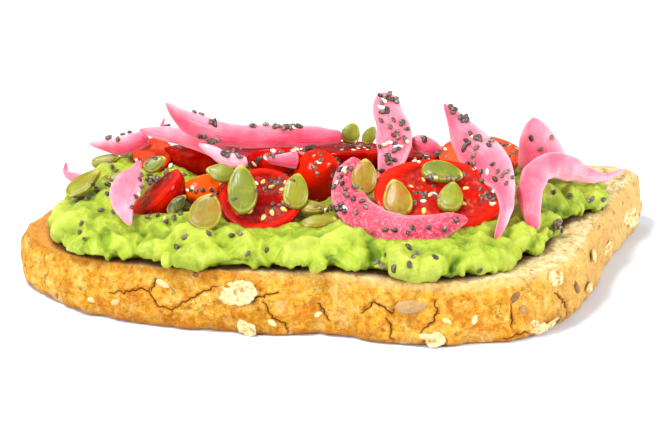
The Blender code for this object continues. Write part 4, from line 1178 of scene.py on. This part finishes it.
# Where seeds lie thick, as they are seen down that slope: the middle, in mm along X and up the slope,
# how far they spread, how that spread leans in degrees, how many chia seeds and how many pale ones
seedClusters = [
    (-37, 43, 6, 0.5, -27, 9, 0), (-21, 40.4, 2.4, 0.5, 0, 6, 0), (-15.5, 40, 3, 0.4, 0, 6, 0),
    (-10.5, 40.2, 1.5, 0.4, 0, 4, 0), (-2, 40.2, 3.4, 0.6, 0, 9, 0), (-34, 36.2, 3, 0.7, -12, 7, 0),
    (-28, 32.6, 2.4, 1.4, -20, 13, 1), (-20.5, 31, 3.6, 0.9, 25, 10, 3),
    (-11.5, 33.8, 4.5, 0.6, 12, 11, 2), (5.5, 34.8, 4.5, 1.2, -6, 14, 8), (14, 40.6, 3.8, 7, 0, 16, 1),
    (13.2, 47, 2.8, 2, 0, 9, 2), (13, 33, 3, 4, 0, 8, 4), (19.5, 39, 4, 1.4, -38, 11, 1),
    (24.5, 32, 2.8, 0.8, 0, 3, 0), (31, 43, 3.4, 0.8, -42, 11, 0), (34.5, 35.5, 2.4, 1.8, -30, 10, 1),
    (39.5, 26.5, 4.5, 8, 35, 14, 2), (22.5, 31.8, 4.5, 0.9, 20, 6, 4), (22.3, 22, 3.2, 2.6, 0, 15, 3),
    (38.2, 21.2, 2.6, 2.6, 0, 11, 3), (27, 26.2, 5.5, 0.9, 5, 8, 1), (43.5, 35.4, 4.6, 1.6, -10, 11, 2),
    (46, 28.5, 1, 5, 0, 6, 1), (0.2, 28, 2.6, 3.6, 0, 12, 3), (-5.2, 29, 2.4, 3, 0, 5, 1),
    (-18, 24.2, 3.8, 1.3, 8, 11, 2), (-15.2, 18.6, 2.2, 1, 25, 6, 0), (-12, 28, 2.2, 3, 0, 4, 0),
    (-48, 26.6, 4.2, 1.6, 25, 16, 1), (-45.6, 26.6, 1.4, 1, 0, 5, 0), (-51, 21.5, 2.8, 1, 30, 5, 1),
    (-34.5, 23.6, 5, 1.4, 0, 6, 2), (-2.6, 18.2, 4, 1, -6, 12, 1), (-69, 20.6, 2.6, 0.8, 0, 5, 0),
    (-63, 24, 3, 2.2, 0, 4, 1), (-45.5, 16.2, 4.5, 1.2, -10, 7, 1), (4, 20, 3, 3.5, -50, 7, 1),
    (16, 12.6, 5, 1.6, 0, 4, 0), (25, 13.8, 5, 1.4, 10, 4, 0), (58, 22, 3, 1, 0, 3, 0),
    (68, 19.8, 2.5, 1.4, 0, 4, 0), (57, 13.6, 2.4, 2, 0, 8, 0), (53.5, 34, 3.6, 3, 0, 3, 0),
    (-51, 32, 3.4, 1.6, 0, 6, 1), (-29, 20.5, 3, 1.5, 0, 4, 0), (-57.5, 18.5, 6, 2.5, -10, 5, 0),
    (-30, 10, 14, 3.2, 0, 7, 0), (-60, 12, 7, 4, -20, 3, 0), (16, 3.6, 7, 1.6, 0, 6, 0),
    (21, 7.4, 6, 2.4, 0, 4, 0), (34, 1.6, 4, 1.4, 0, 2, 0),
]
# Flakes of oat baked into the crust: place, length and width in mm, and turn in degrees
oatFlakes = [
    (-25.1, -40.8, 11.8, 10.4, 6.4, 16), (-23.5, -40.9, 2.4, 4.2, 5.4, 70),
    (49.3, -41.8, 3.2, 4.4, 6.8, 80),
    (52.9, -39.2, 3.0, 4.0, 6.2, 100), (54.5, -37.4, 14.2, 4.2, 5.6, 60), (23.7, -49.0, 2.2, 5.0, 4.0, 20),
    (65.8, -14.9, 11.6, 3.4, 5.4, 85), (71.4, 3.4, 7.2, 3.4, 6.6, 95), (80.4, 27.5, 6.8, 5.6, 8.0, 80),
    (63.5, -21.5, 6.2, 3.0, 4.6, 60),
]
# Whole grains in the crust: place, length, width, turn, and a shade from 0 pale to 1 brown
crustGrains = [
    (-44.8, -36.3, 12.2, 3.8, 1.8, -30, 0.12), (17.6, -48.7, 10.9, 8.2, 3.6, 8, 0.55),
    (60.1, -29.9, 8.8, 3.6, 2.6, 60, 0.75), (-5.5, -41.3, 5.7, 2.6, 1.4, 30, 0.0),
    (-17.1, -41.8, 3.8, 3.0, 1.4, -40, 0.05), (33.6, -48.3, 7.2, 2.8, 1.5, 70, 0.0),
    (-36.3, -37.8, 15.2, 2.2, 1.3, -8, 0.9), (-57.2, -32.0, 5.5, 3.0, 1.7, 20, 0.3),
    (-63.6, -28.4, 4.7, 2.6, 1.5, 0, 0.2), (20.9, -48.9, 3.2, 3.0, 1.6, 10, 0.1),
    (43.7, -45.2, 11.9, 3.6, 2.0, 35, 0.8), (26.6, -49.2, 7.3, 2.6, 1.3, -30, 0.1),
    (56.6, -35.6, 1.8, 3.0, 2.0, 20, 0.85), (45.7, -43.5, 8.3, 3.2, 2.0, 80, 0.6),
]


def finishedTree(names):
    # One search tree over some finished pieces
    points, faces, first = [], [], 0
    for name in names:
        mesh = bpy.data.objects[name].data
        places = np.empty(len(mesh.vertices) * 3, np.float32)
        mesh.vertices.foreach_get("co", places)
        points.append(places.reshape(-1, 3))
        faces += [tuple(first + corner for corner in face.vertices) for face in mesh.polygons]
        first += len(mesh.vertices)
    return BVHTree.FromPolygons(np.concatenate(points).tolist(), faces)


solidPieces = ("toasted", "mashed", "tomato_half", "onion_sliver", "shelled_seed")
pieceNames = [made.name for made in bpy.data.objects
              if made.type == "MESH" and made.name.startswith(solidPieces)]
everything = finishedTree(pieceNames)
slope = math.radians(scatter["viewTilt"])
down = Vector((0, math.cos(slope), -math.sin(slope)))
scatterRandom = np.random.default_rng(5)


def layAxes(normal, turn):
    # Three axes with the last along a normal and the first at a turn round it
    normal = unit(np.array(normal))
    first = unit(np.cross(normal, (0.3, -0.9, 0.2)))
    second = np.cross(normal, first)
    lie = math.cos(turn) * first + math.sin(turn) * second
    return np.stack([lie, np.cross(normal, lie), normal], axis=1)


def dropSeed(found, height):
    # The place and axes of a seed where a ray found a surface, sunk in a little
    place, normal = np.array(found[0]), np.array(found[1])
    tipped = unit(normal + scatterRandom.normal(0, scatter["tipping"], 3))
    spot = place + scatter["seedLift"] * height * mm * unit(normal)
    return spot, layAxes(tipped, scatterRandom.uniform(0, math.pi))


chia, pale = [], []
for x, rise, reach, spread, lean, dark, light in seedClusters:
    lean = math.radians(lean)
    for kind, count, height in ((chia, dark, scatter["chiaSize"][2]),
                                (pale, light, scatter["paleSize"][2])):
        for k in range(count):
            far, off = scatterRandom.uniform(-1, 1) * reach, scatterRandom.normal(0, 0.55) * spread
            spotX = (x + far * math.cos(lean) - off * math.sin(lean)) * mm
            spotRise = (rise + far * math.sin(lean) + off * math.cos(lean)) * mm
            aimed = Vector((spotX, spotRise * math.sin(slope), spotRise * math.cos(slope)))
            found = everything.ray_cast(aimed - scatter["dropFrom"] * down, down)
            if found[0] and found[0].z > scatter["lowest"] * mm:
                kind.append(dropSeed(found, height))
spreadLow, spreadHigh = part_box("avocado_spread")
for k in range(scatter["backSeeds"]):
    x = scatterRandom.uniform(spreadLow.x, spreadHigh.x) * 0.92
    y = scatterRandom.uniform(6 * mm, spreadHigh.y)
    found = everything.ray_cast(Vector((x, y, 0.1)), Vector((0, 0, -1)))
    if found[0] and scatterRandom.uniform() < scatter["backPale"]:
        pale.append(dropSeed(found, scatter["paleSize"][2]))
    elif found[0]:
        chia.append(dropSeed(found, scatter["backLift"]))


def scatteredSeeds(name, found, size, finish):
    # All the seeds of one kind, each a little larger or smaller than that size, in its own tone
    sizes = scatterRandom.uniform(*scatter["sizeRange"], (len(found), 1)) * np.array(size) * mm / 2
    tones = scatterRandom.uniform(0, 1, len(found))
    scatteredGrains(name, [f[0] for f in found], [f[1] for f in found], sizes, finish, tones,
                    rows=5, columns=8)


# Chia: hard, smooth little seeds, mottled black, brown and grey; the mottling is drawn coarser than
# it is, so that it shows
chiaFinish, tree, shader = newFinish("chia seed", Roughness=0.35, IOR=1.5)
tone = addNode(tree, "ShaderNodeAttribute", attribute_name="tone").outputs["Fac"]
place = addNode(tree, "ShaderNodeTexCoord").outputs["Object"]
mottle = addNode(tree, "ShaderNodeTexNoise", {"Scale": 1 / (0.7 * mm), "Detail": 2.0}, {"Vector": place})
mixed = addNode(tree, "ShaderNodeMath", {1: 0.35}, {0: tone, 2: mottle.outputs["Fac"]},
                operation="MULTIPLY_ADD")
ramp = addNode(tree, "ShaderNodeValToRGB", links={"Fac": mixed.outputs[0]},
               stops=[(0.3, "#1C140F"), (0.5, "#382B24"), (0.75, "#5E4E43"), (1.0, "#988872")])
tree.links.new(ramp.outputs["Color"], shader.inputs["Base Color"])
scatteredSeeds("chia_seeds", chia, scatter["chiaSize"], chiaFinish)

# Pale chia and broken sesame: cream, a little see-through
paleFinish, tree, shader = newFinish("pale seed", Roughness=0.4, IOR=1.45, Subsurface_Weight=0.3,
                                     Subsurface_Scale=0.0008)
tone = addNode(tree, "ShaderNodeAttribute", attribute_name="tone").outputs["Fac"]
ramp = addNode(tree, "ShaderNodeValToRGB", links={"Fac": tone},
               stops=[(0.0, "#F6EEE0"), (0.6, "#EAD7B8"), (1.0, "#D8B48A")])
tree.links.new(ramp.outputs["Color"], shader.inputs["Base Color"])
scatteredSeeds("pale_seeds", pale, scatter["paleSize"], paleFinish)
print("chia:", len(chia), "pale seeds:", len(pale))


def onCrust(place):
    # The nearest place on the finished crust, and which way it faces
    found = crustTree.find_nearest(Vector(place) * mm)
    return np.array(found[0]), unit(np.array(found[1]))


def upAxes(normal, turn):
    # Axes with the last along a normal, and the first level along the crust, then turned
    level = unit(np.cross((0, 0, 1), normal))
    rise = np.cross(normal, level)
    turn = math.radians(turn)
    lie = math.cos(turn) * level + math.sin(turn) * rise
    return np.stack([lie, np.cross(normal, lie), normal], axis=1)


crustTree = finishedTree(["toasted_slice"])


def flakeSurface(length, width, number, rows=14, columns=40):
    # A flat oval with a torn edge, thinning towards it and curling up a little, with a groove down its
    # middle; rows run from the middle of the top round the edge to the middle of the underside
    along = np.linspace(0.02, math.pi - 0.02, rows)[:, None]
    around = np.linspace(0, 2 * math.pi, columns, endpoint=False)[None, :]
    edge = np.stack([3 * np.cos(around), 3 * np.sin(around), 0 * around + number * 9], axis=-1)
    torn = 1 + 0.24 * noise(edge, 2.6, 130) + 0.12 * noise(edge, 0.5, 131)
    out = np.sin(along) ** 0.6 * torn
    x, y = out * np.cos(around) * length / 2, out * np.sin(around) * width / 2
    flat = np.stack([x, y, 0 * x + number * 9], axis=-1)
    groove = np.exp(-(y / 0.5) ** 2) * (along < 1.5)
    z = 0.45 * np.cos(along) + 0.35 * noise(flat, 2.4, 132) + 0.25 * out ** 2 - 0.3 * groove
    return np.stack([x, y, z], axis=-1) * mm


def joinedGrids(name, grids, finish, tones):
    # Several grids of one size as one mesh
    rows, columns = grids[0].shape[:2]
    points = np.array([np.vstack([grid.reshape(-1, 3), grid[0].mean(axis=0), grid[-1].mean(axis=0)])
                       for grid in grids])
    quads, triangles = closedGrid(rows, columns)
    offsets = np.arange(len(grids))[:, None, None] * points.shape[1]
    values = {"tone": np.repeat(tones, points.shape[1])}
    return makePiece(name, points.reshape(-1, 3), (quads + offsets).reshape(-1, 4),
                     (triangles + offsets).reshape(-1, 3), finish, values)


# Oat: a papery flake, cream with toasted patches and a dry, broken surface
oatFinish, tree, shader = newFinish("oat flake", Roughness=0.75, IOR=1.4)
place = addNode(tree, "ShaderNodeTexCoord").outputs["Object"]
layers = addNode(tree, "ShaderNodeTexNoise", {"Scale": 1 / (1.3 * mm), "Detail": 5.0, "Roughness": 0.65},
                 {"Vector": place})
ramp = addNode(tree, "ShaderNodeValToRGB", links={"Fac": layers.outputs["Fac"]},
               stops=[(0.36, "#A87030"), (0.44, "#CFA866"), (0.54, "#E4CC94"), (0.68, "#F0E0B4")])
tree.links.new(ramp.outputs["Color"], shader.inputs["Base Color"])
bump = addNode(tree, "ShaderNodeBump", {"Strength": 0.8, "Distance": 0.4 * mm},
               {"Height": layers.outputs["Fac"]})
tree.links.new(bump.outputs["Normal"], shader.inputs["Normal"])
grids = []
for number, (x, y, z, length, width, turn) in enumerate(oatFlakes):
    spot, normal = onCrust((x, y, z))
    lying = flakeSurface(length, width, number) @ upAxes(normal, turn).T
    grids.append(lying + spot + scatter["flakeLift"] * mm * normal)
joinedGrids("oat_flakes", grids, oatFinish, np.linspace(0, 1, len(grids)))

# Whole grains: hard and smooth, from cream to a brown husk
grainFinish, tree, shader = newFinish("whole grain", Roughness=0.5, IOR=1.45)
tone = addNode(tree, "ShaderNodeAttribute", attribute_name="tone").outputs["Fac"]
place = addNode(tree, "ShaderNodeTexCoord").outputs["Object"]
husk = addNode(tree, "ShaderNodeTexNoise", {"Scale": 1 / (0.9 * mm), "Detail": 3.0}, {"Vector": place})
mixed = addNode(tree, "ShaderNodeMath", {1: 0.35}, {0: husk.outputs["Fac"], 2: tone},
                operation="MULTIPLY_ADD")
ramp = addNode(tree, "ShaderNodeValToRGB", links={"Fac": mixed.outputs[0]},
               stops=[(0.15, "#EACC96"), (0.4, "#D8B47C"), (0.72, "#AA8450"), (1.0, "#74481E")])
tree.links.new(ramp.outputs["Color"], shader.inputs["Base Color"])
bump = addNode(tree, "ShaderNodeBump", {"Strength": 0.8, "Distance": 0.4 * mm},
               {"Height": husk.outputs["Fac"]})
tree.links.new(bump.outputs["Normal"], shader.inputs["Normal"])
spots, axes, sizes, shades = [], [], [], []
for x, y, z, length, width, turn, shade in crustGrains:
    spot, normal = onCrust((x, y, z))
    spots.append(spot - scatter["grainSink"] * mm * normal)
    axes.append(upAxes(normal, turn))
    sizes.append(np.array([length, width, min(width, 2.4) * 0.6]) * mm / 2)
    shades.append(shade)
scatteredGrains("crust_grains", spots, axes, sizes, grainFinish, np.array(shades),
                rows=14, columns=20)
print("oat flakes:", len(oatFlakes), "grains:", len(crustGrains))


# The stage: floor, lights, world and camera
floor = {"half": 3.0, "colour": "#DEE4F0"}
half = floor["half"]
floorMesh = bpy.data.meshes.new("floor")
floorMesh.from_pydata([(-half, -half, 0), (half, -half, 0), (half, half, 0), (-half, half, 0)], [],
                      [(0, 1, 2, 3)])
floorMesh.materials.append(newFinish("white table", Base_Color=hexColour(floor["colour"]),
                                     Roughness=0.7)[0])
floorPiece = bpy.data.objects.new("floor", floorMesh)
bpy.context.scene.collection.objects.link(floorPiece)

lights = [  # name, place, aimed at, size and watts
    ("key", (-0.32, -0.2, 0.92), (0, 0, 0.02), 0.2, 8.6),
    ("back", (-0.4, 0.6, 0.8), (0, 0, 0.02), 0.5, 3.0),
    ("fill", (-0.75, -0.8, 0.5), (0, 0, 0.02), 0.4, 10.8),
    ("side", (1.0, -0.36, 0.42), (0, 0, 0.02), 0.4, 13.0),
]
for name, placeOf, aim, size, watts in lights:
    lamp = bpy.data.lights.new(name, "AREA")
    lamp.energy = watts
    lamp.size = size
    made = bpy.data.objects.new(name, lamp)
    made.location = placeOf
    made.rotation_euler = (Vector(placeOf) - Vector(aim)).to_track_quat("Z", "Y").to_euler()
    bpy.context.scene.collection.objects.link(made)

world = bpy.data.worlds.new("studio")
world.use_nodes = True
world.node_tree.nodes["Background"].inputs["Color"].default_value = (1, 1, 1, 1)
world.node_tree.nodes["Background"].inputs["Strength"].default_value = 0.4
bpy.context.scene.world = world
bpy.context.scene.view_settings.view_transform = "Standard"

camera = {"aim": (-2.65 * mm, 3.2 * mm, 15 * mm), "elevation": 20, "distance": 0.7, "lens": 143.4}
tilt = math.radians(camera["elevation"])
back = Vector((0, -math.cos(tilt), math.sin(tilt)))
lens = bpy.data.cameras.new("camera")
lens.lens = camera["lens"]
lens.sensor_width = 36
cameraPiece = bpy.data.objects.new("camera", lens)
cameraPiece.location = Vector(camera["aim"]) + camera["distance"] * back
cameraPiece.rotation_euler = (math.pi / 2 - tilt, 0, 0)
bpy.context.scene.collection.objects.link(cameraPiece)
bpy.context.scene.camera = cameraPiece
